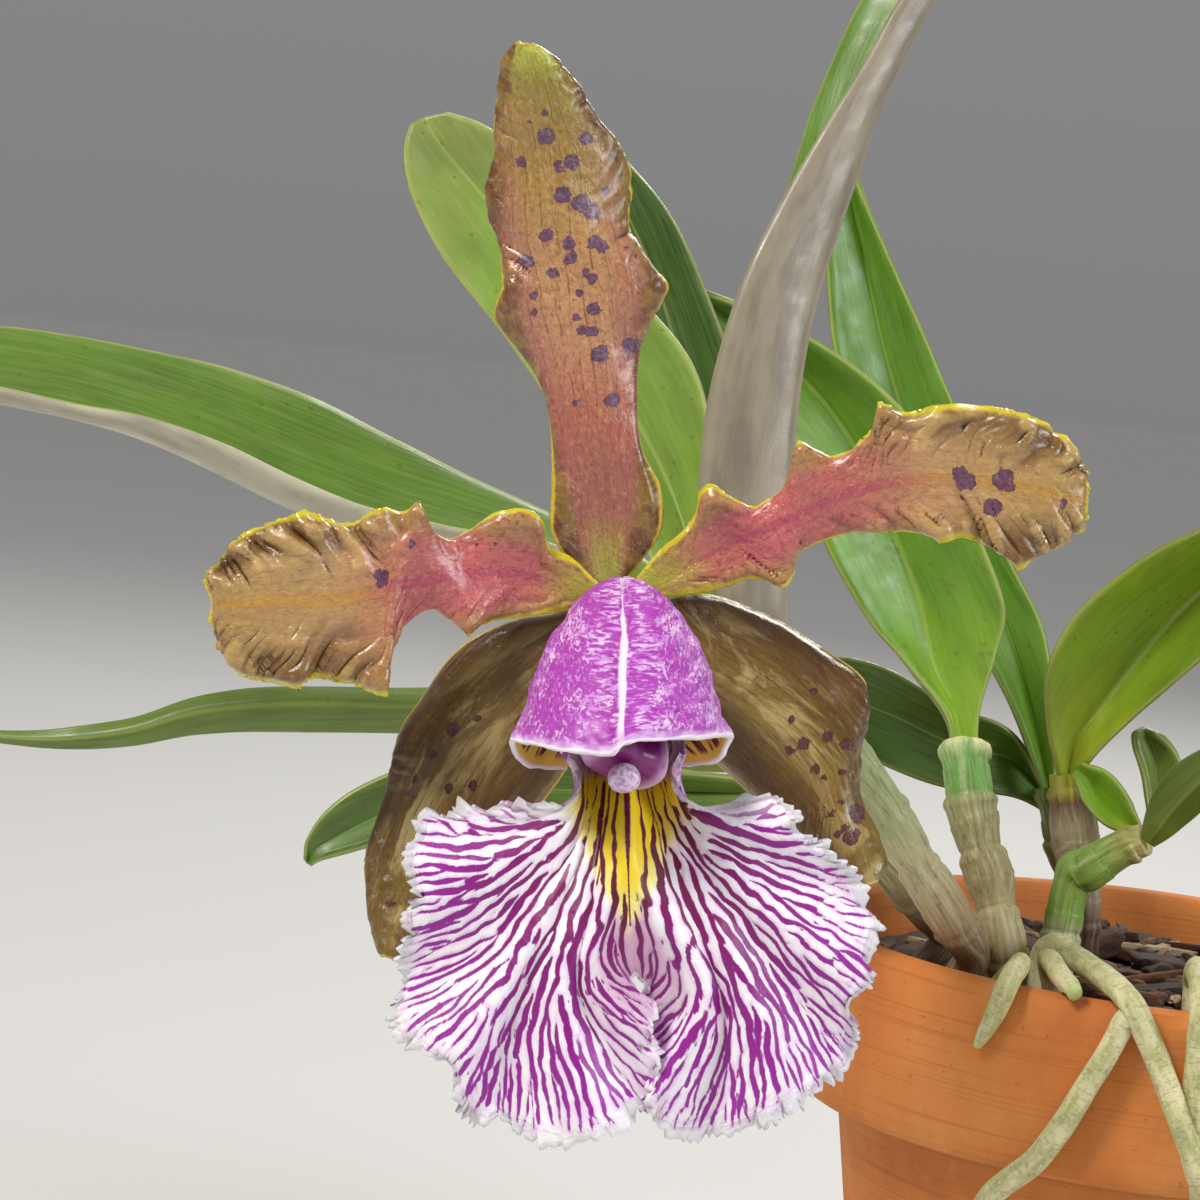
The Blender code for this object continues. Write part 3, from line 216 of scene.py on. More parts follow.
# Middle lobe of the lip: the margin of each half, from the top of the cleft round to the neck.
FAN_MARGIN_LEFT = [
    (634, 975), (627, 989), (640, 999), (655, 1009), (653, 1028), (661, 1050), (657, 1070), (660, 1096),
    (652, 1114), (635, 1112), (619, 1127), (606, 1140), (560, 1143), (506, 1132), (463, 1114),
    (447, 1078), (411, 1048), (389, 1018), (399, 975), (400, 930), (407, 885), (403, 850), (410, 835),
    (415, 817), (440, 819), (462, 813), (488, 808), (503, 802), (525, 803), (546, 813),
]
FAN_MARGIN_RIGHT = [
    (634, 975), (647, 990), (640, 1008), (641, 1030), (644, 1060), (648, 1090), (647, 1112), (656, 1128),
    (676, 1139), (704, 1141), (750, 1130), (792, 1110), (835, 1083), (862, 1042), (863, 1010),
    (878, 985), (873, 955), (884, 925), (863, 897), (850, 866), (833, 850), (815, 840), (800, 826),
    (805, 818), (793, 806), (782, 793), (762, 796), (745, 802),
]
# A quarter, half and three quarters of the way along some rays, by the ray's number from the middle.
FAN_RAYS_LEFT = [
    (0, (627, 800), (628, 860), (630, 920)), (3.5, (618, 810), (615, 890), (603, 966)),
    (5.8, (612, 815), (604, 900), (592, 985)), (7.6, (606, 818), (595, 905), (582, 995)),
    (9.2, (602, 822), (587, 910), (575, 1003)), (10.7, (598, 825), (580, 914), (566, 1010)),
    (12.8, (592, 830), (568, 922), (546, 1008)), (14.5, (588, 835), (557, 922), (518, 1010)),
    (18.2, (582, 838), (547, 905), (496, 988)), (21.2, (576, 830), (533, 885), (476, 942)),
    (24.2, (571, 818), (527, 850), (470, 870)), (26, (573, 807), (535, 832), (478, 840)),
    (28, (576, 797), (556, 815), (522, 822)), (30, (580, 778), (577, 793), (565, 805)),
]
FAN_RAYS_RIGHT = [
    (0, (627, 800), (628, 860), (630, 920)), (3.1, (634, 810), (640, 885), (663, 962)),
    (4.65, (638, 815), (648, 895), (681, 985)), (6.9, (645, 820), (662, 905), (698, 1000)),
    (8.4, (651, 824), (672, 908), (708, 1003)), (10.3, (657, 827), (682, 914), (717, 1010)),
    (12.6, (664, 832), (698, 922), (733, 1015)), (14.1, (669, 834), (710, 924), (752, 1015)),
    (16.6, (677, 836), (728, 920), (784, 1008)), (19.6, (685, 830), (740, 900), (802, 962)),
    (23, (691, 822), (745, 868), (815, 905)), (25.3, (691, 813), (742, 845), (797, 862)),
    (27.6, (684, 800), (714, 818), (757, 826)), (30, (672, 782), (680, 797), (700, 808)),
]
FAN_NECK = [(576, 728, 4.4), (590, 731, 3.4), (622, 733, 2.9), (652, 731, 3.4), (667, 728, 4.4)]
FAN_RAYS = 30
FAN_CROWD = 1.3
FAN_CREST = 13.5
FAN_CREST_FADE = 0.36
FAN_CREST_SOON = 1.7
FAN_DROOP = 2.4
FAN_RUFFLE = 1.7
FAN_RUFFLE_TURN = 0.98
FAN_LAP = 1.3
FAN_LAP_WIDTH = 0.4
FAN_WALL = 4.0
FAN_WALL_AT = 0.16
FAN_WALL_WIDTH = 0.11
# Steps that the margin and the neck are read at for each ray, and the row whose rays are spaced evenly.
FAN_MARGIN_STEPS = 400
FAN_NECK_STEPS = 20
FAN_EVEN_ROW, FAN_EVEN_ROWS = 16, 21
FAN_TRIAL_RAYS = 301
# How far away the fan's margin counts as being at most, in sheet units: at the cleft, at the sides, and what
# is added at the neck.
FAN_SIDE_EDGE = (60.0, 2.0, 18.0)

COLUMN = [
    ((620, 606, 3.4), 1.3), ((621, 650, 6.4), 2.2), ((622, 700, 10.4), 2.8), ((623, 740, 14.0), 3.2),
    ((624, 762, 16.2), 3.0), ((624, 769, 16.8), 2.2),
]
ANTHER_CAP = [
    ((624, 772.6, 17.6), 0.8), ((624, 775, 18.0), 1.6), ((624, 781, 18.9), 1.7), ((624, 787, 19.6), 0.7),
]

# Leaves: stations of (near edge, midrib, far edge), each a drawn point.
LEAF_MAUVE = [
    ((758, 656, 388), (782, 668, 391), (772, 656, 394)),
    ((726, 622, 386), (782, 620, 389), (746, 620, 396)),
    ((702, 560, 386), (784, 560, 389), (728, 560, 398)),
    ((698, 500, 387), (786, 500, 390), (724, 500, 400)),
    ((706, 410, 388), (792, 415, 391), (730, 412, 402)),
    ((722, 340, 389), (801, 345, 392), (742, 342, 403)),
    ((746, 270, 390), (818, 275, 394), (762, 272, 404)),
    ((787, 190, 392), (848, 187, 396), (792, 185, 405)),
    ((830, 118, 394), (874, 112, 398), (813, 115, 405)), ((868, 55, 397), (903, 50, 400), (838, 48, 406)),
    ((896, 5, 399), (930, 0, 402), (866, -5, 407)), ((934, -50, 401), (958, -52, 404), (910, -58, 407)),
    ((972, -98, 403), (984, -100, 405), (968, -104, 407)),
    ((990, -124, 405), (994, -126, 406), (988, -128, 407)),
]
LEAF_LONG = [
    ((736, 684, 387), (746, 698, 388), (740, 682, 392)),
    ((640, 592, 376), (645, 612, 381), (660, 572, 387)),
    ((540, 540, 373), (545, 560, 378), (552, 516, 386)),
    ((452, 526, 370), (456, 541, 375), (458, 473, 384)),
    ((370, 508, 367), (378, 526, 372), (386, 438, 382)),
    ((300, 480, 365), (300, 503, 370), (306, 398, 380)),
    ((222, 443, 363), (225, 468, 368), (228, 369, 378)),
    ((146, 418, 362), (150, 435, 367), (152, 350, 377)),
    ((72, 402, 362), (76, 412, 366), (77, 336, 376)), ((0, 387, 362), (0, 397, 365), (0, 328, 374)),
    ((-70, 374, 362), (-70, 381, 364), (-70, 332, 371)),
    ((-128, 362, 363), (-128, 366, 364), (-126, 344, 367)),
]
LEAF_PALE = [
    ((740, 754, 425), (748, 752, 427), (756, 748, 426)),
    ((706, 672, 424), (722, 662, 427), (738, 652, 423)),
    ((668, 596, 426), (698, 570, 431), (724, 546, 425)),
    ((624, 510, 429), (668, 482, 435), (713, 452, 428)),
    ((566, 426, 432), (620, 392, 438), (694, 368, 431)),
    ((504, 336, 435), (558, 296, 441), (636, 292, 434)),
    ((446, 262, 438), (508, 226, 443), (580, 208, 437)),
    ((412, 196, 440), (462, 172, 444), (528, 154, 440)),
    ((404, 152, 441), (434, 136, 443), (482, 124, 441)),
    ((411, 124, 442), (425, 118, 443), (448, 112, 442)),
]
LEAF_SHADE = [
    ((762, 760, 430), (768, 756, 432), (774, 752, 431)),
    ((722, 660, 438), (742, 652, 441), (762, 648, 438)),
    ((690, 540, 444), (724, 524, 448), (758, 510, 444)),
    ((650, 420, 448), (690, 396, 452), (738, 384, 448)),
    ((610, 300, 451), (654, 276, 455), (704, 284, 451)),
    ((580, 210, 453), (618, 196, 456), (668, 212, 453)),
    ((566, 150, 455), (590, 142, 457), (626, 160, 455)),
    ((572, 122, 456), (580, 118, 457), (590, 120, 456)),
]
LEAF_LOW = [
    ((746, 760, 429), (752, 766, 428), (746, 772, 429)),
    ((680, 738, 424), (690, 752, 422), (680, 768, 424)),
    ((560, 704, 420), (570, 722, 416), (560, 744, 420)),
    ((460, 690, 417), (465, 708, 413), (460, 734, 417)),
    ((390, 689, 415), (392, 706, 411), (390, 730, 415)),
    ((290, 690, 412), (292, 704, 409), (290, 728, 412)),
    ((200, 701, 410), (200, 712, 408), (200, 732, 410)),
    ((130, 722, 409), (130, 731, 407), (130, 744, 409)),
    ((60, 731, 408), (60, 739, 407), (60, 747, 408)), ((0, 731, 408), (0, 737, 407), (0, 742, 408)),
    ((-44, 728, 408), (-44, 731, 407), (-44, 735, 408)),
]
LEAF_SMALL = [
    ((810, 786, 437), (814, 794, 438), (810, 802, 437)),
    ((690, 772, 440), (700, 792, 443), (694, 816, 440)),
    ((580, 756, 438), (590, 790, 441), (584, 826, 438)),
    ((470, 748, 436), (470, 790, 439), (476, 832, 436)),
    ((376, 780, 434), (386, 812, 437), (398, 840, 434)),
    ((330, 808, 433), (340, 834, 435), (350, 852, 433)),
    ((308, 838, 433), (314, 850, 434), (322, 860, 433)),
    ((305, 858, 433), (307, 863, 434), (311, 866, 433)),
]
LEAF_MOTTLED = [
    ((953, 752, 461), (965, 752, 462), (977, 752, 461)),
    ((944, 712, 460), (956, 715, 462), (980, 708, 460)),
    ((906, 664, 460), (934, 668, 464), (996, 655, 459)),
    ((868, 620, 460), (918, 600, 465), (1006, 610, 458)),
    ((832, 560, 459), (899, 547, 465), (986, 552, 457)),
    ((802, 490, 459), (872, 480, 465), (948, 468, 457)),
    ((758, 416, 458), (830, 410, 464), (898, 404, 457)),
    ((722, 352, 458), (776, 352, 463), (836, 352, 457)),
    ((694, 312, 457), (728, 316, 461), (770, 316, 457)),
    ((672, 287, 457), (690, 294, 459), (712, 294, 457)),
    ((662, 281, 457), (668, 284, 458), (676, 285, 457)),
]
LEAF_BROAD = [
    ((1059, 780, 477), (1068, 780, 478), (1077, 779, 477)),
    ((1046, 722, 475), (1076, 742, 478), (1098, 752, 474)),
    ((1049, 666, 472), (1104, 706, 477), (1134, 716, 470)),
    ((1078, 614, 468), (1138, 662, 474), (1170, 684, 466)),
    ((1128, 568, 463), (1184, 608, 470), (1216, 642, 461)),
    ((1190, 534, 457), (1236, 562, 464), (1264, 596, 456)),
    ((1252, 508, 452), (1286, 524, 457), (1304, 548, 451)),
    ((1308, 490, 448), (1326, 496, 450), (1334, 508, 448)),
]
LEAF_BACK = [
    ((1044, 792, 488), (1050, 791, 489), (1056, 790, 488)),
    ((1008, 700, 492), (1030, 700, 495), (1052, 700, 491)),
    ((960, 612, 494), (1000, 612, 498), (1042, 630, 493)),
    ((900, 520, 496), (954, 520, 500), (1000, 540, 495)),
    ((858, 440, 497), (912, 440, 502), (968, 440, 496)),
    ((834, 352, 498), (886, 356, 503), (932, 352, 497)),
    ((827, 274, 499), (868, 278, 503), (901, 284, 498)),
    ((826, 206, 500), (852, 204, 503), (872, 216, 499)),
    ((834, 166, 501), (844, 164, 502), (854, 172, 500)),
]
LEAF_LEVEL = [
    ((1050, 802, 494), (1054, 808, 495), (1050, 814, 494)),
    ((1010, 730, 492), (1016, 762, 496), (1012, 796, 492)),
    ((950, 706, 489), (954, 744, 493), (950, 788, 489)),
    ((896, 674, 488), (898, 718, 492), (896, 770, 488)),
    ((846, 658, 489), (848, 698, 492), (842, 742, 489)),
    ((806, 664, 490), (806, 686, 492), (802, 710, 490)),
    ((784, 674, 491), (782, 682, 492), (780, 690, 491)),
]
LEAF_BRIGHT = [
    ((1142, 829, 469), (1140, 834, 470), (1139, 839, 469)),
    ((1130, 798, 470), (1118, 812, 473), (1104, 826, 470)),
    ((1108, 772, 472), (1096, 786, 475), (1082, 802, 472)),
    ((1082, 763, 473), (1077, 768, 474), (1072, 774, 473)),
]
LEAF_OLIVE = [
    ((1142, 836, 465), (1148, 842, 464), (1154, 846, 465)),
    ((1150, 800, 463), (1172, 810, 460), (1188, 824, 463)),
    ((1176, 766, 460), (1206, 776, 456), (1216, 800, 460)),
    ((1222, 742, 456), (1242, 756, 453), (1248, 776, 456)),
    ((1264, 736, 453), (1268, 744, 452), (1270, 752, 453)),
]
LEAF_BUD = [
    ((1151, 838, 469), (1155, 840, 470), (1160, 840, 469)),
    ((1144, 780, 473), (1160, 782, 475), (1178, 784, 472)),
    ((1135, 748, 474), (1152, 744, 476), (1178, 760, 473)),
    ((1136, 732, 474), (1143, 728, 475), (1154, 732, 474)),
]

# Each leaf: its stations, its slot, how sharply it is keeled, and the seed of its waves.
LEAVES = {
    "leaf_mauve": (LEAF_MAUVE, "leaf_underside", 0.5, 77),
    "leaf_long": (LEAF_LONG, "leaf", 0.5, 74),
    "leaf_pale": (LEAF_PALE, "leaf", 0.6, 71),
    "leaf_shade": (LEAF_SHADE, "leaf", 0.6, 71),
    "leaf_low": (LEAF_LOW, "leaf", 0.6, 70),
    "leaf_small": (LEAF_SMALL, "leaf", 0.6, 71),
    "leaf_mottled": (LEAF_MOTTLED, "leaf", 0.6, 76),
    "leaf_broad": (LEAF_BROAD, "leaf", 0.6, 71),
    "leaf_back": (LEAF_BACK, "leaf", 0.6, 71),
    "leaf_level": (LEAF_LEVEL, "leaf", 0.6, 69),
    "leaf_bright": (LEAF_BRIGHT, "leaf", 0.6, 66),
    "leaf_olive": (LEAF_OLIVE, "leaf", 0.6, 66),
    "leaf_bud": (LEAF_BUD, "leaf", 0.6, 63),
}

# Round pieces: (drawn point or point in space, radius).
CANE_FLOWER = [
    ((972, 956, 452), 2.8), ((956, 926, 446), 3.3), ((930, 884, 438), 3.4), ((916, 862, 434), 2.9),
    ((900, 836, 429), 3.3), ((872, 790, 420), 3.1), ((836, 742, 409), 3.5), ((820, 722, 404), 3.0),
    ((796, 702, 398), 3.3), ((766, 680, 390), 4.4), ((759, 674, 388), 4.2),
]
CANE_LEFT = [
    ((946, 938, 466), 2.6), ((924, 908, 460), 3.0), ((880, 860, 450), 2.8), ((830, 808, 440), 3.2),
    ((786, 772, 432), 3.0), ((756, 758, 428), 3.6), ((750, 754, 427), 3.2),
]
CANE_FRONT = [
    ((1003, 938, 455), 3.4), ((996, 904, 456), 3.0), ((988, 872, 457), 3.9), ((980, 846, 458), 3.2),
    ((972, 812, 459), 4.0), ((968, 782, 460), 3.5), ((965, 760, 461), 3.6), ((965, 748, 462), 4.1),
]
CANE_SHEATHED = [
    ((1084, 894, 478), 2.8), ((1080, 862, 478), 3.4), ((1074, 828, 478), 3.9), ((1070, 800, 478), 3.4),
    ((1068, 774, 478), 2.9),
]
CANE_YOUNG = [
    ((1072, 884, 470), 3.0), ((1088, 870, 469), 3.4), ((1112, 854, 468), 3.0), ((1134, 843, 467), 2.8),
    ((1146, 840, 466), 2.4),
]
CANE_BACK = [
    ((1076, 886, 490), 2.8), ((1066, 850, 490), 3.3), ((1058, 812, 490), 3.0), ((1052, 786, 490), 3.0),
]
RHIZOME = [
    ((-41, -4, 85.2), 1.8), ((-38, -13, 86), 3.0), ((-32, -23, 86), 3.2), ((-23, -20, 86), 3.3),
    ((-15, -9, 86), 3.0), ((-9, 1, 86), 3.2), ((-8, 12, 86), 3.0), ((-5, 22, 85.4), 1.8),
]
# Where each cane stands on the rhizome.
CANE_FEET = {
    "cane_flower": (-33.5, -24.5, 90.0), "cane_left": (-37.5, -13.5, 90.0),
    "cane_front": (-23.5, -19.8, 90.0), "cane_sheathed": (-9.5, 1.0, 90.0),
    "cane_young": (-15.5, -9.0, 90.0), "cane_back": (-8.0, 11.5, 90.0),
}
CANES = {
    "cane_flower": CANE_FLOWER, "cane_left": CANE_LEFT, "cane_front": CANE_FRONT,
    "cane_sheathed": CANE_SHEATHED, "cane_young": CANE_YOUNG, "cane_back": CANE_BACK,
}
FLOWER_STEM = [
    ((757, 672, 388.5), 1.5), ((724, 651, 377), 1.6), ((690, 632, 363), 1.9), ((660, 618, 351), 2.3),
    ((636, 606, 342), 2.6), ((622, 598, 336), 2.7), ((616, 594, 333.2), 2.4),
]
# Roots: the first point lies in the bark, and each other one is (sheet x, y), radius and how far it
# lies off the pot or the bark.
ROOTS = {
    "root_a": [
        ((-21, -27, 88), 1.4), (1046, 945, 2.0, 0.0), (1070, 955, 2.0, 0.0), (1102, 976, 2.0, 0.0),
        (1126, 996, 1.9, 0.0), (1142, 1025, 1.9, 0.0), (1163, 1074, 1.9, 0.0), (1178, 1118, 1.8, 3.9),
        (1190, 1150, 1.8, 4.3), (1200, 1184, 1.7, 4.3), (1207, 1210, 1.1, 4.0),
    ],
    "root_b": [
        (1134, 1006, 1.2, 0.0), (1124, 1022, 1.8, 0.0), (1112, 1046, 1.8, 0.0), (1092, 1078, 1.8, 0.0),
        (1066, 1120, 1.9, 0.0), (1036, 1160, 1.9, 0.0), (1006, 1182, 1.8, 0.0),
        (984, 1204, 1.7, 0.0), (972, 1240, 1.1, 0.0),
    ],
    "root_c": [
        ((-32, -32, 87), 1.2), (1019, 964, 1.5, 0.0), (1010, 980, 1.6, 0.0), (998, 1008, 1.5, 0.0),
        (984, 1034, 1.1, 0.0), (977, 1046, 0.6, 0.0),
    ],
    "root_d": [
        ((-18, -33, 88), 1.3), (1048, 962, 1.7, 0.0), (1062, 978, 1.7, 0.0), (1075, 994, 1.2, 0.0),
    ],
    "root_e": [
        ((2, -34, 88), 1.4), (1196, 972, 2.0, 0.0), (1204, 1000, 2.1, 0.0), (1200, 1046, 2.1, 0.0),
        (1196, 1098, 2.0, 0.0), (1198, 1150, 1.9, 0.0), (1204, 1206, 1.8, 0.0), (1206, 1236, 1.1, 0.0),
    ],
}

# Fine steps: rows along and columns across each blade; the fan's back has every FAN_BACK_SKIP-th row.
BLADE_ROWS = 230
BLADE_COLUMNS = 76
LEAF_ROWS = 120
LEAF_FINE_COLUMNS = 22
HOOD_FINE_ROWS = 98
HOOD_FINE_COLUMNS = 161
FAN_FINE_ROWS = 73
FAN_BACK_SKIP = 6
FAN_HALF_COLUMNS = 480
CANE_FINE = (170, 44)
ROOT_FINE = (150, 26)
RHIZOME_FINE = (150, 40)
STEM_FINE = (110, 36)
COLUMN_FINE = (60, 48)
ROOT_PATH_STEPS = 18

# Spots of (sheet x, sheet y, radius).
SPOTS_UPPER = [
    (545, 111, 4), (530, 121, 3), (546, 136, 9), (560, 131, 2), (584, 138, 7), (524, 162, 5), (558, 164, 4),
    (561, 170, 4), (571, 162, 8), (562, 196, 9), (580, 204, 10), (590, 212, 9), (604, 191, 5), (547, 235, 7),
    (569, 244, 7), (571, 258, 7), (594, 243, 7), (601, 248, 6), (528, 262, 8), (554, 273, 6), (586, 273, 4),
    (592, 279, 6), (534, 295, 5), (580, 294, 4), (536, 312, 3), (593, 309, 7), (577, 317, 4), (582, 331, 5),
    (588, 331, 5), (594, 332, 5), (628, 345, 9), (599, 354, 9), (577, 402, 4), (611, 400, 8), (618, 175, 2),
    (619, 222, 2), (624, 250, 2), (635, 258, 2),
]
SPOTS_LEFT_SEPAL = [
    (453, 730, 7), (478, 719, 4), (432, 754, 5), (417, 780, 4), (414, 793, 5), (449, 788, 5), (473, 785, 5),
    (391, 905, 4), (382, 889, 2),
]
SPOTS_RIGHT_SEPAL = [
    (813, 692, 4), (792, 720, 4), (804, 743, 7), (791, 750, 5), (828, 736, 6), (846, 744, 6), (816, 769, 5),
    (823, 777, 3), (842, 772, 3), (840, 802, 3), (853, 812, 8), (856, 819, 6), (845, 828, 4), (839, 834, 4),
    (850, 838, 7), (856, 834, 5), (832, 814, 3), (835, 811, 2),
]
SPOTS_LEFT_PETAL = [
    (378, 575, 6), (385, 580, 6), (380, 583, 5), (386, 573, 4), (410, 543, 4), (494, 543, 2), (478, 546, 2),
]
SPOTS_RIGHT_PETAL = [
    (960, 474, 9), (969, 481, 9), (962, 484, 6), (1003, 480, 11), (1009, 486, 6), (993, 508, 9),
    (963, 497, 3),
    (1063, 502, 4), (1060, 506, 2),
]

# Veins of the middle lobe, in sheet units. Three values are for the neck, the blade and the margin, and
# VEIN_SPREAD and VEIN_NARROW say between which shares of a ray they change.
VEIN_STEPS = 260
VEIN_NUMBERS = 240
VEIN_START = 0.05
VEIN_SPACING = (8.5, 9.8, 8.0)
VEIN_HALF_WIDTH = (1.1, 3.25, 2.3)
VEIN_THINNEST = 0.35
VEIN_SPREAD = (0.08, 0.4)
VEIN_NARROW = (0.5, 0.95)
# How stout a vein may be, how often one forks rather than starts free, and in which gaps, in spacings, one is
# born, beside which other, and ends.
VEIN_STOUT = (0.65, 1.3)
VEIN_FORKS = 0.75
VEIN_BIRTH = (1.35, 2.3)
VEIN_BESIDE = 0.12
VEIN_END, VEIN_END_SOON = 0.55, 0.35
# How fast veins even out their gaps, how far and in what waves they sway and swell, over what length they
# taper, how far from the margin they end, how unlike their waves are, and how many marks are tried for each
# point.
VEIN_EASE = 22.0
VEIN_WANDER = 0.42
VEIN_WAVE = 11.0
VEIN_PULSE = 0.32
VEIN_PULSE_WAVE = 8.0
VEIN_TAPER = 24.0
VEIN_MARGIN = (3.0, 13.0)
VEIN_LEAN = 50
VEIN_NEAREST = 6
# The vein down the very middle, as shares of the ray.
MIDDLE_VEIN = (0.2, 0.8)
MIDDLE_VEIN_WIDTH = 1.1
# Loose strokes near the margin: how many, on which rays, where and how long as shares of a ray, and how wide.
VEIN_DASHES = 90
DASH_FIRST, DASH_LAST = 8, 4
DASH_AT = (0.62, 0.93)
DASH_LENGTH = (0.008, 0.03)
DASH_HALF_WIDTH = (0.5, 1.25)
DASH_MARKS = 9

# Fringe of the middle lobe, in sheet units: lobes and teeth as (size, spacing), the share of deep notches,
# how far in it reaches, its frill as (height, wave, reach), and how close to the top of the cleft it dies out.
FRINGE_LOBE = (13.0, 22.0)
FRINGE_TOOTH = (10.0, 6.5)
FRINGE_NOTCHES = 0.16
FRINGE_REACH = 20.0
FRINGE_FRILL = (1.3, 13.0, 30.0)
FRINGE_CLEFT = (6.0, 70.0)
FRINGE_EASING = 12
FRINGE_ROWS = 8
CLEFT_TOP = FAN_MARGIN_LEFT[0]

# The yellow of the lip's neck: its middle and half sizes on the sheet.
NECK_GOLD = (628.0, 788.0, 68.0, 138.0)
NECK_GOLD_POWER = 1.1

# How the lip flares into the hood at its throat: middle, half height and how far, in sheet units; and how far
# above the middle of the yellow it turns to the purple of the throat.
THROAT_FLARE = (748.0, 17.0, 15.0)
THROAT_FADE = (2.0, 22.0)

# Relief of the petals and sepals, in millimetres.
FOLD_HEIGHT = 0.8
DIMPLE_HEIGHT = 0.12
EVEN_ROWS = 62

# Blades of the bloom: how far the rim curls back, in millimetres, and how strongly the blade is folded.
UPPER_RELIEF, LOWER_RELIEF, PETAL_RELIEF = (1.0, 0.38), (0.8, 0.25), (0.9, 1.0)
UPPER_SEED = 101
# Lower sepals: stations, spots, the side on which the lip lies, and the seed of the folds.
LOWER_SEPALS = {
    "sepal_left": (SEPAL_LEFT, SPOTS_LEFT_SEPAL, 1.0, 131),
    "sepal_right": (SEPAL_RIGHT, SPOTS_RIGHT_SEPAL, -1.0, 161),
}
# Petals: stations, spots, where the rose colour ends, and the seed of the folds.
PETALS = {
    "petal_left": (PETAL_LEFT, SPOTS_LEFT_PETAL, 0.56, 191),
    "petal_right": (PETAL_RIGHT, SPOTS_RIGHT_PETAL, 0.58, 221),
}

# Waves of the leaves: height, and reach across and along, in millimetres; then the frill of their margins.
LEAF_WAVE = (0.45, 9.0, 24.0)
LEAF_FRILL = (0.35, 11.0)
LEAF_ROUGH = 0.38
ROOT_TIP = (190, 202, 128)

# Relief of the canes, as shares of the radius: lumps, furrows, the ring at each joint, the groove above it
# and the edge of the dry sheath, which ends SHEATH_REACH of the cane's length above the joint.
CANE_LUMPS = 0.035
CANE_FURROW, CANE_FURROWS = 0.02, 9
JOINT_RING, JOINT_GROOVE = 0.12, 0.07
SHEATH_EDGE, SHEATH_REACH, SHEATH_RAGGED = 0.05, 0.16, 0.03


def view_frame():
    """The viewer's position and its right, up and forward directions."""
    forward = np.array([0.0, math.cos(VIEW_PITCH), -math.sin(VIEW_PITCH)])
    level = np.array([1.0, 0.0, 0.0])
    upright = np.array([0.0, math.sin(VIEW_PITCH), math.cos(VIEW_PITCH)])
    right = level * math.cos(VIEW_ROLL) + upright * math.sin(VIEW_ROLL)
    up = upright * math.cos(VIEW_ROLL) - level * math.sin(VIEW_ROLL)
    x = (RIM_ON_SHEET[0] - SHEET_CENTRE) * RIM_DEPTH / FOCAL
    y = (RIM_ON_SHEET[1] - SHEET_CENTRE) * RIM_DEPTH / FOCAL
    place = np.array([0.0, 0.0, POT_HEIGHT]) - right * x + up * y - forward * RIM_DEPTH
    return place, right, up, forward


VIEWER, RIGHT, UP, FORWARD = view_frame()


def seen(points):
    """Drawn points as points in space."""
    points = np.asarray(points, float)
    depth = points[..., 2:]
    x = (points[..., :1] - SHEET_CENTRE) * depth / FOCAL
    y = (points[..., 1:2] - SHEET_CENTRE) * depth / FOCAL
    return VIEWER + RIGHT * x - UP * y + FORWARD * depth


def in_bloom(points):
    """Points of (sheet x, sheet y, height towards the viewer) as points in space."""
    points = np.array(points, float)
    points[..., 2] = BLOOM_DEPTH - points[..., 2]
    return seen(points)


def on_sheet(points):
    """Points in space as (sheet x, sheet y)."""
    away = points - VIEWER
    depth = away @ FORWARD
    x, y = FOCAL * (away @ RIGHT) / depth, FOCAL * (away @ UP) / depth
    return np.stack([SHEET_CENTRE + x, SHEET_CENTRE - y], -1)


def run_of(points):
    """How far along a line each of its points lies."""
    return np.concatenate([[0], np.cumsum(np.linalg.norm(np.diff(points, axis=0), axis=1))])


def unit(vectors):
    """The same directions, one long."""
    return vectors / np.maximum(np.linalg.norm(vectors, axis=-1, keepdims=True), 1e-6)


def curve(points, count):
    """A smooth curve through the points, sampled evenly by length."""
    points = np.asarray(points, float)
    ends = np.concatenate([[2 * points[0] - points[1]], points, [2 * points[-1] - points[-2]]])
    fine = []
    for i in range(len(points) - 1):
        a, b, c, d = ends[i:i + 4]
        for t in np.linspace(0, 1, CURVE_STEPS, endpoint=False):
            fine.append(0.5 * (2 * b + (c - a) * t + (2 * a - 5 * b + 4 * c - d) * t * t
                               + (3 * b - a - 3 * c + d) * t ** 3))
    fine = np.array(fine + [points[-1]])
    flat = fine.reshape(len(fine), -1)
    along = run_of(flat)
    want = np.linspace(0, along[-1], count)
    out = np.stack([np.interp(want, along, flat[:, k]) for k in range(flat.shape[1])], -1)
    return out.reshape((count,) + points.shape[1:])


def smooth(x, low, high):
    """From 0 at low to 1 at high, with level ends."""
    t = np.clip((x - low) / (high - low), 0, 1)
    return t * t * (3 - 2 * t)


@functools.lru_cache(maxsize=None)
def lattice_table(seed):
    return np.random.default_rng(seed).uniform(-1, 1, (CELLS, CELLS))


def lattice(u, v, seed):
    """Smooth seeded noise from -1 to 1 over a plane of unit cells."""
    table = lattice_table(seed)
    i, j = np.floor(u).astype(int), np.floor(v).astype(int)
    a, b = u - i, v - j
    a, b = a * a * (3 - 2 * a), b * b * (3 - 2 * b)
    i, j, right, above = i % CELLS, j % CELLS, (i + 1) % CELLS, (j + 1) % CELLS
    low = table[i, j] * (1 - a) + table[right, j] * a
    high = table[i, above] * (1 - a) + table[right, above] * a
    return low * (1 - b) + high * b


def noise_at(x, y, seed=SEED):
    """The same noise at one place."""
    return float(lattice(np.array(x), np.array(y), seed))


def around(sides):
    """Turns round a ring, in radians."""
    return np.linspace(0, 2 * math.pi, sides, endpoint=False)


def ring_faces(rings):
    """Faces between rings of corner numbers."""
    after = np.roll(rings, -1, axis=1)
    return np.stack([rings[:-1], after[:-1], after[1:], rings[1:]], -1).reshape(-1, 4)


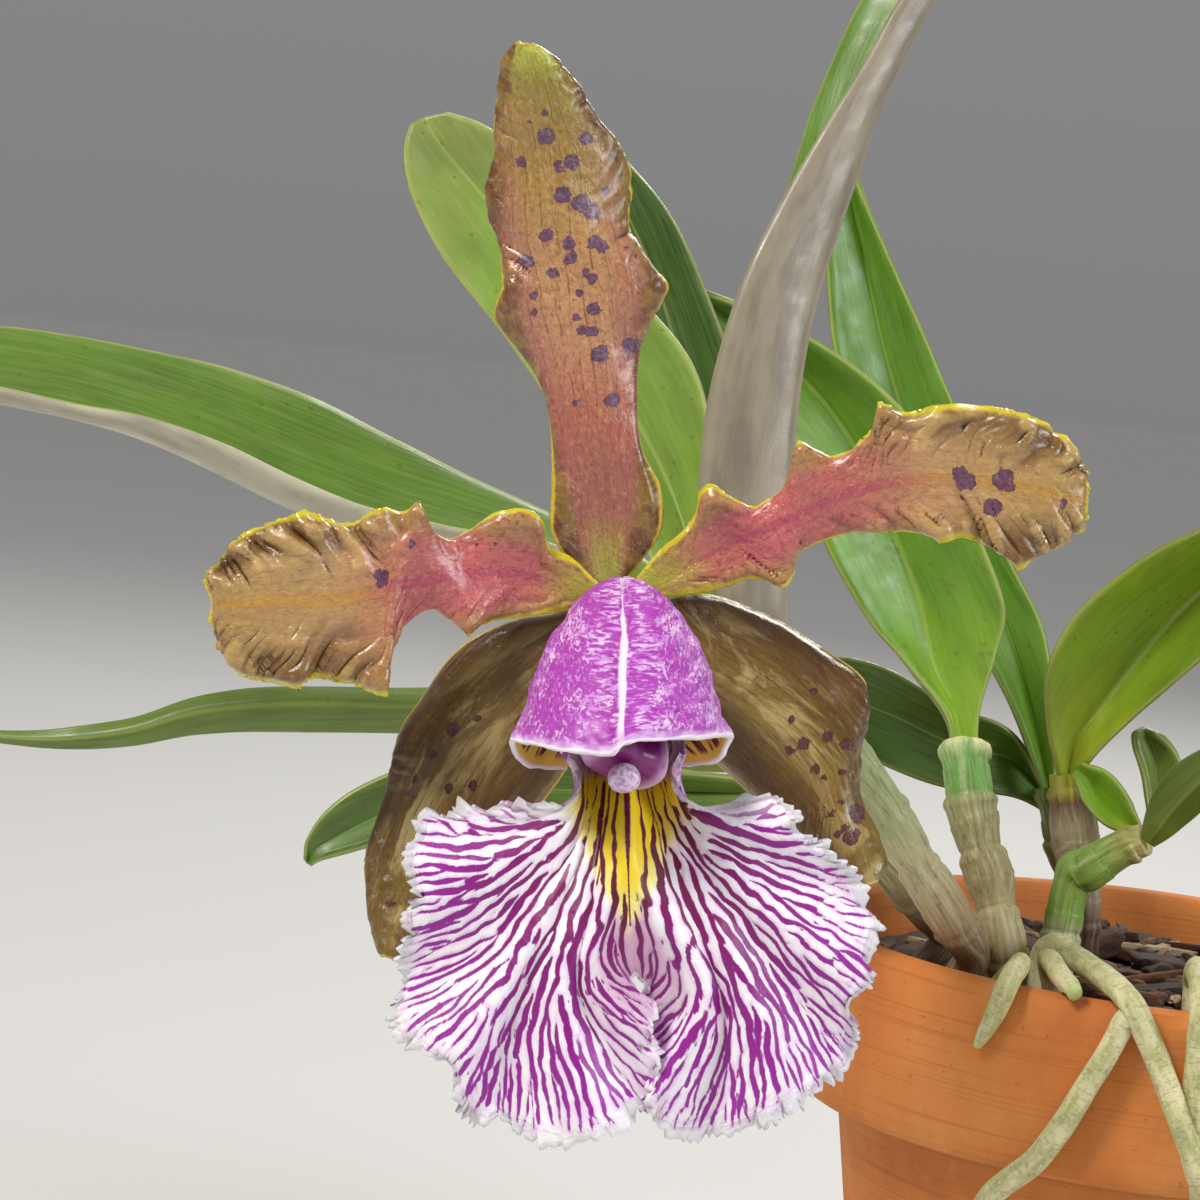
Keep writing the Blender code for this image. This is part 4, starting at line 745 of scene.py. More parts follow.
def make_piece(name, points, faces, paint, node, slot, **layers):
    """One shown piece, from points, arrays of corner numbers, and layers of values for its material."""
    mesh = bpy.data.meshes.new(name)
    points = np.asarray(points, float)
    mesh.vertices.add(len(points))
    mesh.vertices.foreach_set("co", (points * MM).ravel())
    faces = [np.atleast_2d(np.asarray(part, np.int32)) for part in faces if len(part)]
    mesh.loops.add(sum(part.size for part in faces))
    mesh.loops.foreach_set("vertex_index", np.concatenate([part.ravel() for part in faces]))
    sizes = np.concatenate([np.full(len(part), part.shape[1]) for part in faces])
    mesh.polygons.add(len(sizes))
    mesh.polygons.foreach_set("loop_start", np.concatenate([[0], np.cumsum(sizes)[:-1]]).astype(np.int32))
    mesh.polygons.foreach_set("use_smooth", np.ones(len(sizes), bool))
    mesh.update(calc_edges=True)
    for key, values in layers.items():
        vector = np.ndim(values) == 2
        layer = mesh.attributes.new(key, "FLOAT_VECTOR" if vector else "FLOAT", "POINT")
        layer.data.foreach_set("vector" if vector else "value", np.asarray(values, np.float32).ravel())
    mesh.materials.append(paint)
    made = bpy.data.objects.new(name, mesh)
    bpy.context.scene.collection.objects.link(made)
    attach(made, "root")
    if node:
        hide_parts(node)
    return made


def plain_normals(grid):
    """Directions square to a grid of points."""
    normal = np.cross(np.gradient(grid, axis=0), np.gradient(grid, axis=1))
    return normal / np.maximum(np.linalg.norm(normal, axis=-1, keepdims=True), 1e-9)


def facing_of(grid, row, column):
    """1 if a grid shows the viewer its front at one of its points, else -1."""
    return 1.0 if plain_normals(grid)[row, column] @ FORWARD < 0 else -1.0


def closed_sheet(grid, depth, skip=1):
    """Points and faces of a closed blade over a grid; its back has every skip-th row only."""
    rows, columns = grid.shape[:2]
    offset = plain_normals(grid) * depth[..., None] / 2
    front, back = grid + offset, (grid - offset)[::skip]
    points = np.concatenate([front.reshape(-1, 3), back.reshape(-1, 3)])
    f = np.arange(rows * columns).reshape(rows, columns)
    b = rows * columns + np.arange(len(back) * columns).reshape(len(back), columns)
    faces = [
        np.stack([f[:-1, :-1], f[1:, :-1], f[1:, 1:], f[:-1, 1:]], -1).reshape(-1, 4),
        np.stack([b[:-1, :-1], b[:-1, 1:], b[1:, 1:], b[1:, :-1]], -1).reshape(-1, 4),
        np.stack([f[0, :-1], f[0, 1:], b[0, 1:], b[0, :-1]], -1),
        np.stack([f[-1, 1:], f[-1, :-1], b[-1, :-1], b[-1, 1:]], -1),
    ]
    starts = np.arange(0, rows - 1, skip)
    steps = np.arange(skip + 1)
    left = f[starts[:, None] + steps, 0]
    right = f[starts[:, None] + steps, -1]
    faces.append(np.concatenate([left[:, ::-1], b[:-1, :1], b[1:, :1]], 1))
    faces.append(np.concatenate([right, b[1:, -1:], b[:-1, -1:]], 1))
    return points, faces


def both(values, skip=1):
    """A grid layer at the points of a closed sheet."""
    shape = (-1,) + values.shape[2:]
    return np.concatenate([values.reshape(shape), values[::skip].reshape(shape)])


def sides_of(grid, skip=1, turn=1.0):
    """1 on a closed sheet's front, -1 on its back; turn swaps them."""
    ones = np.ones(grid.shape[:2])
    return np.concatenate([ones.ravel(), -ones[::skip].ravel()]) * turn


def flat_of(grid):
    """(across, along) in millimetres for each grid point, from the middle of the row and from the base."""
    step = np.linalg.norm(np.diff(grid, axis=0), axis=-1).mean(1)
    along = np.concatenate([[0], np.cumsum(step)])[:, None] * np.ones(grid.shape[1])
    reach = np.linalg.norm(np.diff(grid, axis=1), axis=-1)
    across = np.concatenate([np.zeros((len(grid), 1)), np.cumsum(reach, axis=1)], 1)
    return across - across[:, -1:] / 2, along


def flat_places(across, along):
    return np.stack([across, along, np.zeros_like(across)], -1)


def cross(edges, middle, v, keel=0.0):
    """Rows across a blade, from its left edge over the middle line to its right edge, for v from 0 to 1."""
    v = v[None, :, None]
    left, right = edges[:, None, 0], edges[:, None, 1]
    middle = middle[:, None]
    bent = left * 2 * (v - 0.5) * (v - 1) + middle * 4 * v * (1 - v) + right * 2 * v * (v - 0.5)
    folded = np.where(v < 0.5, left + (middle - left) * 2 * v, middle + (right - middle) * (2 * v - 1))
    return bent * (1 - keel) + folded * keel


def spots_at(grid, spots):
    """How far inside the nearest spot each grid point lies, in millimetres, from spots of (x, y, radius)."""
    place = on_sheet(grid)
    best = np.full(grid.shape[:2], -9.0)
    for x, y, radius in spots:
        gap = np.hypot(place[..., 0] - x, place[..., 1] - y)
        best = np.maximum(best, (radius - gap) * BLOOM_DEPTH / FOCAL)
    return best


def tube(name, spine, rings, sides, paint, node, slot, shape=None):
    """A round piece along a spine of (place, radius); shape(along, turn) gives what its radius is times."""
    data = curve([(*place, radius) for place, radius in spine], rings)
    path, radii = data[:, :3], data[:, 3]
    tangent = unit(np.gradient(path, axis=0))
    step = run_of(path)
    side = np.cross(tangent[0], TUBE_SIDE)
    turn = around(sides)
    points, grain = [], []
    for k in range(rings):
        side = side - tangent[k] * (side @ tangent[k])
        side /= np.linalg.norm(side)
        other = np.cross(tangent[k], side)
        ring = np.cos(turn)[:, None] * side + np.sin(turn)[:, None] * other
        scale = radii[k] * (shape(step[k], turn) if shape else 1.0)
        points.append(path[k] + ring * np.reshape(scale, (-1, 1)))
        grain.append(np.stack([np.cos(turn) * radii[k], np.sin(turn) * radii[k], turn * 0 + step[k]], -1))
    f = np.arange(rings * sides).reshape(rings, sides)
    faces = [ring_faces(f)]
    first, last = rings * sides, rings * sides + 1
    faces.append(np.stack([np.full(sides, first), np.roll(f[0], -1), f[0]], -1))
    faces.append(np.stack([np.full(sides, last), f[-1], np.roll(f[-1], -1)], -1))
    points = np.concatenate(points + [path[:1], path[-1:]])
    grain = np.concatenate(grain + [[[0, 0, 0]], [[0, 0, step[-1]]]])
    return make_piece(name, points, faces, paint, node, slot, grain=grain, along=grain[:, 2] / step[-1])


def linear(colour):
    """A screen colour as the shader's own."""
    shares = [c / 255 / 12.92 if c <= 10 else ((c / 255 + 0.055) / 1.055) ** 2.4 for c in colour]
    return (*shares, 1.0)


class Paint:
    """A node material, built step by step. Every method gives the socket of what it makes."""

    def __init__(self, name, rough=0.5, coat=0.0, thin=0.0):
        self.colour = None
        self.made = bpy.data.materials.new(name)
        self.made.use_nodes = True
        self.tree = self.made.node_tree
        self.shader = self.tree.nodes["Principled BSDF"]
        self.shader.inputs["Roughness"].default_value = rough
        self.shader.inputs["Coat Weight"].default_value = coat
        self.shader.inputs["Coat Roughness"].default_value = 0.25
        self.shader.inputs["Subsurface Weight"].default_value = thin
        self.shader.inputs["Subsurface Radius"].default_value = (1.0, 0.7, 0.45)
        self.shader.inputs["Subsurface Scale"].default_value = 0.0012

    def add(self, kind, sources, out=0, **settings):
        node = self.tree.nodes.new(kind)
        for key, value in settings.items():
            setattr(node, key, value)
        for key, source in sources.items():
            self.feed(node.inputs[key], source)
        return node.outputs[out]

    def feed(self, socket, source):
        if isinstance(source, bpy.types.NodeSocket):
            self.tree.links.new(source, socket)
        elif source is not None:
            socket.default_value = source

    def layer(self, name):
        """A value that the mesh brings along."""
        return self.add("ShaderNodeAttribute", {}, 2, attribute_name=name)

    def place(self, name="flat"):
        """A place that the mesh brings along, in millimetres."""
        return self.add("ShaderNodeAttribute", {}, 1, attribute_name=name)

    def space(self):
        """Where the point is, in millimetres."""
        spot = self.add("ShaderNodeTexCoord", {}, 3)
        return self.stretch(spot, 1000, 1000, 1000)

    def stretch(self, vector, x, y, z=1.0):
        return self.add("ShaderNodeVectorMath", {0: vector, 1: (x, y, z)}, operation="MULTIPLY")

    def math(self, kind, a, b=0.0):
        return self.add("ShaderNodeMath", {0: a, 1: b}, operation=kind)

    def plus(self, a, b):
        return self.math("ADD", a, b)

    def minus(self, a, b):
        return self.math("SUBTRACT", a, b)

    def times(self, a, b):
        return self.math("MULTIPLY", a, b)

    def size(self, a):
        return self.math("ABSOLUTE", a)

    def swing(self, value, reach):
        """A value from 0 to 1, such as noise, as one that swings about 0."""
        return self.times(self.minus(value, 0.5), reach)

    def part(self, vector, which):
        return self.add("ShaderNodeSeparateXYZ", {0: vector}, which)

    def ease(self, value, low, high, start=0.0, end=1.0):
        """From start, where the value is low, to end, where it is high."""
        sources = {0: value, 1: low, 2: high, 3: start, 4: end}
        return self.add("ShaderNodeMapRange", sources, interpolation_type="SMOOTHSTEP")

    def noise(self, vector, scale, detail=3.0, rough=0.55, turn=0.0):
        sources = {"Vector": vector, "Scale": scale, "Detail": detail, "Roughness": rough}
        return self.add("ShaderNodeTexNoise", {**sources, "Distortion": turn})

    def cells(self, vector, scale):
        """How far the nearest of many scattered points is."""
        return self.add("ShaderNodeTexVoronoi", {"Vector": vector, "Scale": scale}, feature="F1")

    def mix(self, a, b, share):
        sources = {0: share, 6: self.tone(a), 7: self.tone(b)}
        return self.add("ShaderNodeMix", sources, 2, data_type="RGBA", blend_type="MIX")

    def over(self, tint, where, strength=None):
        """Lays a tint over the colour, where the value where is high."""
        if strength is not None:
            where = self.times(where, strength)
        self.colour = self.mix(self.colour, tint, where)

    def behind(self):
        """1 on a blade's back, 0 on its front."""
        return self.ease(self.layer("side"), 0.2, -0.2)

    def pulled(self, vector, reach, *settings):
        """Noise that is drawn out along a blade."""
        return self.noise(self.stretch(vector, 1, reach), *settings)

    def strands(self, vector, reach, *settings):
        """Noise that is drawn out along a round piece."""
        return self.noise(self.stretch(vector, 1, 1, reach), *settings)

    def mix_value(self, a, b, share):
        return self.add("ShaderNodeMix", {0: share, 2: a, 3: b}, data_type="FLOAT")

    def tone(self, colour):
        return colour if isinstance(colour, bpy.types.NodeSocket) else linear(colour)

    def stops(self, value, *stops):
        """A colour that runs through (position, colour) stops."""
        node = self.tree.nodes.new("ShaderNodeValToRGB")
        ramp = node.color_ramp
        while len(ramp.elements) < len(stops):
            ramp.elements.new(1.0)
        for element, (position, colour) in zip(ramp.elements, stops):
            element.position = position
            element.color = linear(colour)
        self.feed(node.inputs[0], value)
        return node.outputs[0]

    def wear(self, rough=None):
        """Puts the colour and the roughness on, and gives the material."""
        self.feed(self.shader.inputs["Base Color"], self.colour)
        if rough is not None:
            self.feed(self.shader.inputs["Roughness"], rough)
        return self.made

    def bumps(self, *heights):
        """Relief from (height socket, millimetres) pairs, one bump after another."""
        normal = None
        for height, depth in heights:
            sources = {"Height": height, "Distance": depth * MM, "Strength": 1.0, "Normal": normal}
            normal = self.add("ShaderNodeBump", sources)
        self.feed(self.shader.inputs["Normal"], normal)


def add_spots(p, dark, pale):
    """Spots from the layer spot, ragged at the edge, over the colour."""
    flat = p.place()
    ragged = p.swing(p.noise(flat, 1.1, 4.0, 0.65), 1.5)
    inside = p.plus(p.layer("spot"), ragged)
    body = p.ease(inside, -0.06, 0.08)
    core = p.ease(inside, 0.0, 0.3)
    skin = p.mix(dark, pale, p.times(core, p.ease(p.noise(flat, 1.7, 2.0), 0.35, 0.6)))
    p.over(skin, body, 0.93)


def sepal_paint():
    """Upper sepal: green-gold at base and tip, salmon, peach and ochre between, mottled and finely lined."""
    p = Paint("sepal_upper", 0.34, 0.4, 0.12)
    flat, s, v = p.place(), p.layer("along"), p.layer("across")
    wander = p.swing(p.pulled(flat, 0.35, 0.16, 3.0), 0.16)
    p.colour = p.stops(
        p.plus(s, wander), (0.0, (160, 160, 56)), (0.06, (166, 146, 70)), (0.13, (172, 104, 82)),
        (0.30, (182, 106, 84)), (0.44, (194, 140, 100)), (0.58, (188, 142, 94)), (0.70, (174, 138, 76)),
        (0.84, (164, 134, 56)), (0.92, (156, 142, 42)), (0.965, (188, 192, 56)), (1.0, (200, 206, 70)),
    )
    away = p.size(p.plus(v, p.swing(p.noise(flat, 0.2), 0.35)))
    mauve = p.times(p.ease(away, 0.3, 0.75), p.ease(s, 0.9, 0.6))
    p.over((170, 96, 90), mauve, 0.7)
    olive = p.times(p.ease(away, 0.58, 0.86), 0.92)
    bronze = p.mix((98, 60, 20), (140, 112, 34), p.ease(p.noise(flat, 0.3), 0.42, 0.58))
    p.over(bronze, olive)
    # Painted highlights and painted shade that follow the folds.
    fold_highlight_and_shade(p, 0.5)
    freckle = p.ease(p.pulled(flat, 0.6, 2.3, 5.0, 0.72), 0.51, 0.64)
    p.over((142, 62, 48), freckle, 0.55)
    pale = p.ease(p.pulled(flat, 0.25, 1.1, 4.0, 0.6), 0.55, 0.72)
    p.over((226, 178, 130), pale, 0.35)
    p.over((112, 52, 34), long_lines(p, v, flat, 6.0, 0.07), 0.6)
    add_spots(p, (86, 46, 78), (106, 74, 112))
    rim = p.ease(p.minus(p.layer("edge"), p.times(p.noise(flat, 0.6), 0.5)), 0.28, 0.02)
    p.over((208, 178, 44), rim)
    return finish_blade(p, (160, 142, 72), 0.27, 0.16, 0.36)


def fold_highlight_and_shade(p, share):
    """Painted highlights of paler gold on the crests of the folds and painted shade of dark bronze in the
    valleys.
    """
    fold = p.plus(p.layer("fold"), p.swing(p.noise(p.place(), 1.2, 4.0), 0.3))
    # Painted shade in the fold valleys, then painted highlights on the fold crests.
    p.over((90, 50, 16), p.ease(fold, 0.02, -0.4), 0.62 * share)
    p.over((226, 190, 118), p.ease(fold, 0.22, 0.6), 0.6 * share)


def long_lines(p, v, flat, count, width):
    """Thin wavering lines along a blade."""
    sway = p.swing(p.pulled(flat, 0.3, 0.5, 4.0), 0.9 / count)
    turn = p.times(p.plus(v, sway), count)
    gap = p.size(p.minus(p.math("FRACT", p.plus(turn, 50.0)), 0.5))
    fade = p.times(p.ease(p.size(v), 0.8, 0.55), p.ease(p.noise(flat, 0.3, 3.0), 0.38, 0.56))
    return p.times(p.ease(gap, width, width * 0.3), fade)


def finish_blade(p, back, shine, furrow, net):
    """Paints the back, and gives the blade its gloss, its ribs and its pits, of which furrow and net say how
    strong they are. It also paints shade into the furrows and the pits, and pale highlights on the rises
    between the pits."""
    flat = p.place()
    behind = p.behind()
    mottle = p.mix(back, tuple(0.7 * c for c in back), p.ease(p.noise(flat, 0.5, 5.0), 0.4, 0.7))
    p.over(mottle, behind)
    ribs = p.pulled(flat, 0.07, 1.5, 4.0, 0.55, 0.2)
    # Painted shade: dark brown in the furrows between the ribs.
    p.over((86, 44, 20), p.ease(ribs, 0.5, 0.36), furrow)
    pits = p.pulled(flat, 0.8, 1.7, 4.0, 0.6, 0.8)
    # Painted shade: dark brown in the pits.
    p.over(p.mix(p.colour, (70, 30, 12), 0.7), p.ease(pits, 0.48, 0.34), net)
    # Painted highlight: pale cream on the rises between the pits.
    p.over(p.mix(p.colour, (255, 228, 180), 0.4), p.ease(pits, 0.54, 0.68), net)
    soft = p.pulled(flat, 0.6, 0.7, 4.0, 0.6)
    p.bumps((soft, 0.3), (ribs, 0.5 * furrow), (pits, 0.3 * net))
    rough = p.ease(p.pulled(flat, 0.3, 0.5, 4.0), 0.3, 0.7, shine - 0.1, shine + 0.14)
    return p.wear(rough)


def lateral_paint(name, inner):
    """Lower sepals: bronze and olive, paler towards the lip, on whose side inner (1 or -1) lies, with painted
    cream highlights over their middle.
    """
    p = Paint(name, 0.3, 0.4, 0.1)
    flat, s, v = p.place(), p.layer("along"), p.layer("across")
    inward = p.times(v, inner)
    sway = p.swing(p.pulled(flat, 0.3, 0.2, 4.0), 0.7)
    lay = p.plus(p.times(p.plus(inward, sway), 0.5), 0.5)
    p.colour = p.stops(
        lay, (0.0, (74, 34, 14)), (0.14, (88, 60, 16)), (0.32, (106, 82, 26)), (0.5, (146, 120, 52)),
        (0.66, (110, 88, 32)), (0.82, (84, 66, 20)), (1.0, (128, 116, 52)),
    )
    ends = p.stops(
        s, (0.0, (132, 116, 50)), (0.12, (102, 54, 28)), (0.3, (110, 82, 32)), (1.0, (114, 96, 28)),
    )
    p.over(ends, p.ease(p.size(p.minus(s, 0.45)), 0.2, 0.6, 0.1, 0.7))
    ruddy = p.ease(p.pulled(flat, 0.4, 0.22, 4.0, 0.6, 0.5), 0.52, 0.68)
    p.over((104, 42, 24), ruddy, 0.35)
    streak = p.ease(p.pulled(flat, 0.1, 1.4, 4.0, 0.6), 0.45, 0.7)
    p.over((154, 126, 58), streak, 0.35)
    # Painted highlight: pale cream streaks over the middle of the sepal.
    painted_sheen_streaks = p.ease(p.pulled(flat, 0.35, 0.17, 6.0, 0.7, 0.8), 0.46, 0.58)
    painted_sheen = p.times(p.ease(p.size(p.plus(inward, 0.2)), 0.75, 0.2), painted_sheen_streaks)
    p.over((208, 188, 126), painted_sheen, 0.55)
    p.over((64, 34, 14), long_lines(p, v, flat, 8.0, 0.07), 0.6)
    add_spots(p, (74, 14, 26), (96, 48, 62))
    p.over((206, 180, 66), p.ease(p.layer("edge"), 0.36, 0.16))
    return finish_blade(p, (140, 122, 58), 0.27, 0.3, 0.06)


def petal_paint(name, rose_end):
    """Petals: green claw, rose middle with a darker centre line, bronze netted blade and a lemon margin."""
    p = Paint(name, 0.32, 0.45, 0.12)
    flat, s, v = p.place(), p.layer("along"), p.layer("across")
    wander = p.swing(p.pulled(flat, 0.5, 0.14, 4.0), 0.2)
    run = p.plus(s, wander)
    p.colour = p.stops(
        run, (0.0, (178, 176, 62)), (0.07, (180, 152, 70)), (0.14, (196, 112, 96)), (0.3, (204, 104, 104)),
        (rose_end - 0.1, (190, 104, 94)), (rose_end + 0.02, (190, 130, 92)),
        (rose_end + 0.14, (188, 150, 98)), (1.0, (172, 138, 76)),
    )
    blade = p.ease(run, rose_end - 0.04, rose_end + 0.14)
    away = p.size(p.plus(v, p.swing(p.noise(flat, 0.16), 0.5)))
    olive = p.times(p.times(p.ease(away, 0.4, 0.86), blade), 0.8)
    p.over((112, 76, 22), olive)
    # Painted highlights and painted shade that follow the folds.
    fold_highlight_and_shade(p, 0.8)
    tan = p.times(p.times(p.ease(away, 0.5, 1.0), p.ease(blade, 0.9, 0.2)), 0.85)
    p.over((176, 138, 76), tan)
    dots = p.ease(p.pulled(flat, 0.6, 2.0, 5.0, 0.75), 0.52, 0.63)
    p.over((128, 34, 66), dots, p.ease(blade, 0.8, 0.1, 0.15, 0.6))
    middle = p.times(p.ease(p.size(v), 0.16, 0.02), p.ease(s, 0.08, 0.16))
    p.over(p.mix((168, 34, 92), (196, 142, 40), blade), middle, 0.5)
    p.over((118, 48, 34), long_lines(p, v, flat, 6.0, 0.05), 0.3)
    add_spots(p, (84, 26, 66), (102, 62, 98))
    ragged = p.minus(p.layer("edge"), p.times(p.noise(flat, 0.5), 0.7))
    lemon = p.ease(ragged, p.ease(blade, 0.0, 1.0, 0.2, 0.85), 0.0)
    p.over((214, 196, 24), lemon)
    return finish_blade(p, (170, 146, 70), 0.24, 0.06, 0.3)


def hood_paint():
    """Side lobes: violet net on pale pink, streaked across beside the white seam, white at the hem; inside
    purple, with yellow, maroon-striped ears."""
    p = Paint("lip_hood", 0.45, 0.08, 0.12)
    flat, v, edge = p.place(), p.layer("across"), p.layer("edge")
    sideways = p.size(p.part(flat, 0))
    by_seam = p.ease(sideways, 6.0, 1.5)
    streaks = p.noise(p.stretch(flat, 0.32, 1.0), 2.0, 5.0, 0.66, 0.3)
    web = p.noise(p.stretch(flat, 1.0, 0.75), 1.7, 5.0, 0.72, 0.9)
    pattern = p.mix_value(web, streaks, by_seam)
    wide = p.ease(p.noise(flat, 0.16, 3.0), 0.32, 0.62, 0.0, 0.11)
    ink = p.ease(p.plus(pattern, wide), 0.475, 0.575)
    ground = p.mix((240, 208, 244), (206, 144, 222), p.ease(p.noise(flat, 0.4, 4.0), 0.36, 0.62))
    violet = p.mix((176, 62, 180), (142, 20, 144), p.ease(pattern, 0.55, 0.68))
    p.colour = p.mix(ground, violet, p.times(ink, p.ease(edge, 0.3, 1.6)))
    seam = p.ease(sideways, 0.5, 0.18)
    p.over((248, 236, 250), seam, p.ease(edge, 0.5, 2.5, 0.4, 0.92))
    p.over((248, 238, 248), p.ease(edge, 0.55, 0.2))
    ear = p.ease(p.size(v), 0.52, 0.6)
    stripe = p.ease(p.noise(p.stretch(flat, 1.0, 0.1), 1.1, 3.0), 0.44, 0.52)
    yellow = p.mix((255, 218, 92), (122, 16, 26), p.times(stripe, p.ease(edge, 0.7, 1.3)))
    purple = p.mix((150, 44, 144), (104, 18, 100), p.ease(p.pulled(flat, 0.2, 0.9, 3.0), 0.4, 0.6))
    within = p.mix(purple, yellow, p.times(ear, p.ease(edge, 7.0, 5.0)))
    within = p.mix(within, (250, 240, 236), p.ease(edge, 0.4, 0.15))
    p.over(within, p.behind())
    p.bumps((p.noise(flat, 0.5, 5.0), 0.2), (pattern, 0.06))
    return p.wear(p.ease(p.noise(flat, 0.6), 0.3, 0.7, 0.36, 0.56))


def fan_paint():
    """Middle lobe: yellow neck with maroon lines, white blade with magenta veins, white fringed margin, and
    painted shade in the cleft.
    """
    p = Paint("lip_fan", 0.42, 0.1, 0.12)
    flat, s, edge, n = p.place(), p.layer("along"), p.layer("edge"), p.layer("ray")
    ragged = p.swing(p.noise(flat, 1.7, 4.0, 0.6), 0.2)
    vein = p.plus(p.layer("vein"), ragged)
    gold = p.plus(p.layer("gold"), p.swing(p.noise(flat, 0.4), 0.3))
    tint = p.times(p.ease(vein, -0.6, 0.0), p.ease(p.noise(flat, 0.35, 3.0), 0.35, 0.65, 0.05, 0.55))
    ground = p.mix((255, 251, 255), (232, 172, 236), tint)
    # Painted shade in the cleft: the ground turns a darker mauve there.
    cleft_shade = p.times(p.ease(n, 0.26, 0.06), p.ease(s, 0.5, 0.85))
    ground = p.mix(ground, (186, 116, 164), p.times(cleft_shade, 0.75))
    yellow = p.mix((254, 240, 146), (255, 222, 34), p.ease(gold, 0.0, 0.35))
    ground = p.mix(ground, yellow, p.ease(gold, -0.14, 0.1))
    ink = p.stops(
        s, (0.0, (100, 0, 30)), (0.28, (120, 0, 62)), (0.42, (128, 0, 92)), (0.58, (134, 0, 114)),
        (0.76, (146, 2, 138)), (1.0, (160, 28, 166)),
    )
    # Painted shade: the veins darker in the cleft.
    ink = p.mix(ink, (96, 0, 50), p.times(cleft_shade, 0.6))
    ink = p.mix(ink, (96, 0, 34), p.ease(gold, -0.5, 0.1))
    body = p.ease(vein, -0.04, 0.05)
    p.colour = p.mix(ground, p.mix(p.mix(ink, (186, 70, 184), 0.18), ink, p.ease(vein, 0.0, 0.12)), body)
    p.over((250, 247, 251), p.ease(edge, 0.75, 0.2))
    lines = p.ease(p.noise(p.stretch(flat, 1.0, 0.12), 1.3, 4.0), 0.42, 0.6)
    wing = p.mix((244, 224, 244), (176, 84, 178), lines)
    wall = p.mix((150, 40, 142), (104, 12, 98), lines)
    throat = p.mix(wing, wall, p.ease(n, 0.75, 0.4))
    p.over(throat, p.layer("throat"))
    behind = p.behind()
    under = p.mix((236, 206, 236), (196, 116, 200), p.ease(p.pulled(flat, 0.15, 1.0, 4.0), 0.45, 0.62))
    p.over(under, behind)
    p.bumps((p.noise(flat, 0.6, 4.0), 0.2), (p.ease(vein, -0.3, 0.2), -0.1), (p.noise(flat, 3.0, 2.0), 0.03))
    return p.wear(p.ease(p.noise(flat, 0.8), 0.3, 0.7, 0.36, 0.52))


def column_paint():
    """Column: cream at its foot, purple towards the tip, finely lined, with pale wings."""
    p = Paint("column", 0.35, 0.15, 0.15)
    grain, s = p.place("grain"), p.layer("along")
    p.colour = p.stops(
        s, (0.0, (214, 190, 120)), (0.4, (150, 46, 134)), (0.8, (112, 10, 96)), (1.0, (134, 30, 118)),
    )
    line = p.ease(p.strands(grain, 0.12, 1.2, 4.0), 0.5, 0.64)
    p.over((84, 8, 74), line, 0.6)
    wing = p.ease(p.size(p.part(grain, 0)), 1.5, 2.9)
    p.over((226, 192, 232), wing, p.ease(line, 1.0, 0.0, 0.6, 0.92))
    p.bumps((p.strands(grain, 0.2, 1.5, 3.0), 0.1))
    return p.wear(p.ease(p.noise(grain, 1.0), 0.3, 0.7, 0.28, 0.45))


def cap_paint():
    """Anther cap: pale lilac, clouded."""
    p = Paint("anther_cap", 0.35, 0.2, 0.2)
    grain = p.place("grain")
    p.colour = p.mix((234, 216, 236), (190, 138, 196), p.ease(p.noise(grain, 2.2, 4.0), 0.4, 0.66))
    p.bumps((p.noise(grain, 1.5, 3.0), 0.08))
    return p.wear(p.ease(p.noise(grain, 1.4), 0.3, 0.7, 0.28, 0.42))


def leaf_paint(name, base, middle, tip, back, blotch):
    """A leathery leaf: colours from base to tip, its back, and how much brown it is blotched with."""
    p = Paint(name, LEAF_ROUGH, 0.12, 0.08)
    flat, s, v = p.place(), p.layer("along"), p.layer("across")
    cloud = p.swing(p.pulled(flat, 0.3, 0.09, 3.0), 0.5)
    p.colour = p.stops(p.plus(s, cloud), (0.0, base), (0.3, middle), (0.72, middle), (1.0, tip))
    shade = p.ease(p.pulled(flat, 0.4, 0.16, 5.0), 0.35, 0.7)
    p.over(p.mix(p.colour, (20, 40, 8), 0.45), shade, 0.6)
    fibre = p.ease(p.pulled(flat, 0.035, 1.7, 4.0, 0.6), 0.4, 0.65)
    p.over(p.mix(p.colour, (226, 236, 150), 0.06), fibre)
    rib = p.ease(p.size(v), 0.07, 0.015)
    p.over(p.mix(p.colour, (222, 226, 140), 0.3), rib, 0.6)
    rusty = p.ease(p.noise(flat, 0.2, 6.0, 0.7), 0.56, 0.68)
    p.over((112, 88, 62), rusty, blotch)
    speck = p.ease(p.cells(flat, 0.35), 0.16, 0.08)
    p.over((78, 66, 30), speck, 0.35)
    rim = p.ease(p.size(v), 0.955, 0.995)
    p.over(p.mix(p.colour, (206, 200, 120), 0.6), rim, 0.6)
    behind = p.behind()
    grey = p.mix(back, tuple(0.82 * c for c in back), p.ease(p.pulled(flat, 0.2, 0.3, 5.0), 0.4, 0.65))
    grey = p.mix(grey, tuple(min(255, 1.15 * c) for c in back), p.times(rib, 0.6))
    p.over(grey, behind)
    p.bumps((p.pulled(flat, 0.25, 0.14, 3.0), 0.4), (fibre, 0.008), (p.noise(flat, 2.4, 3.0), 0.03))
    return p.wear(p.ease(p.noise(flat, 0.25, 5.0), 0.3, 0.7, LEAF_ROUGH - 0.06, LEAF_ROUGH + 0.16))


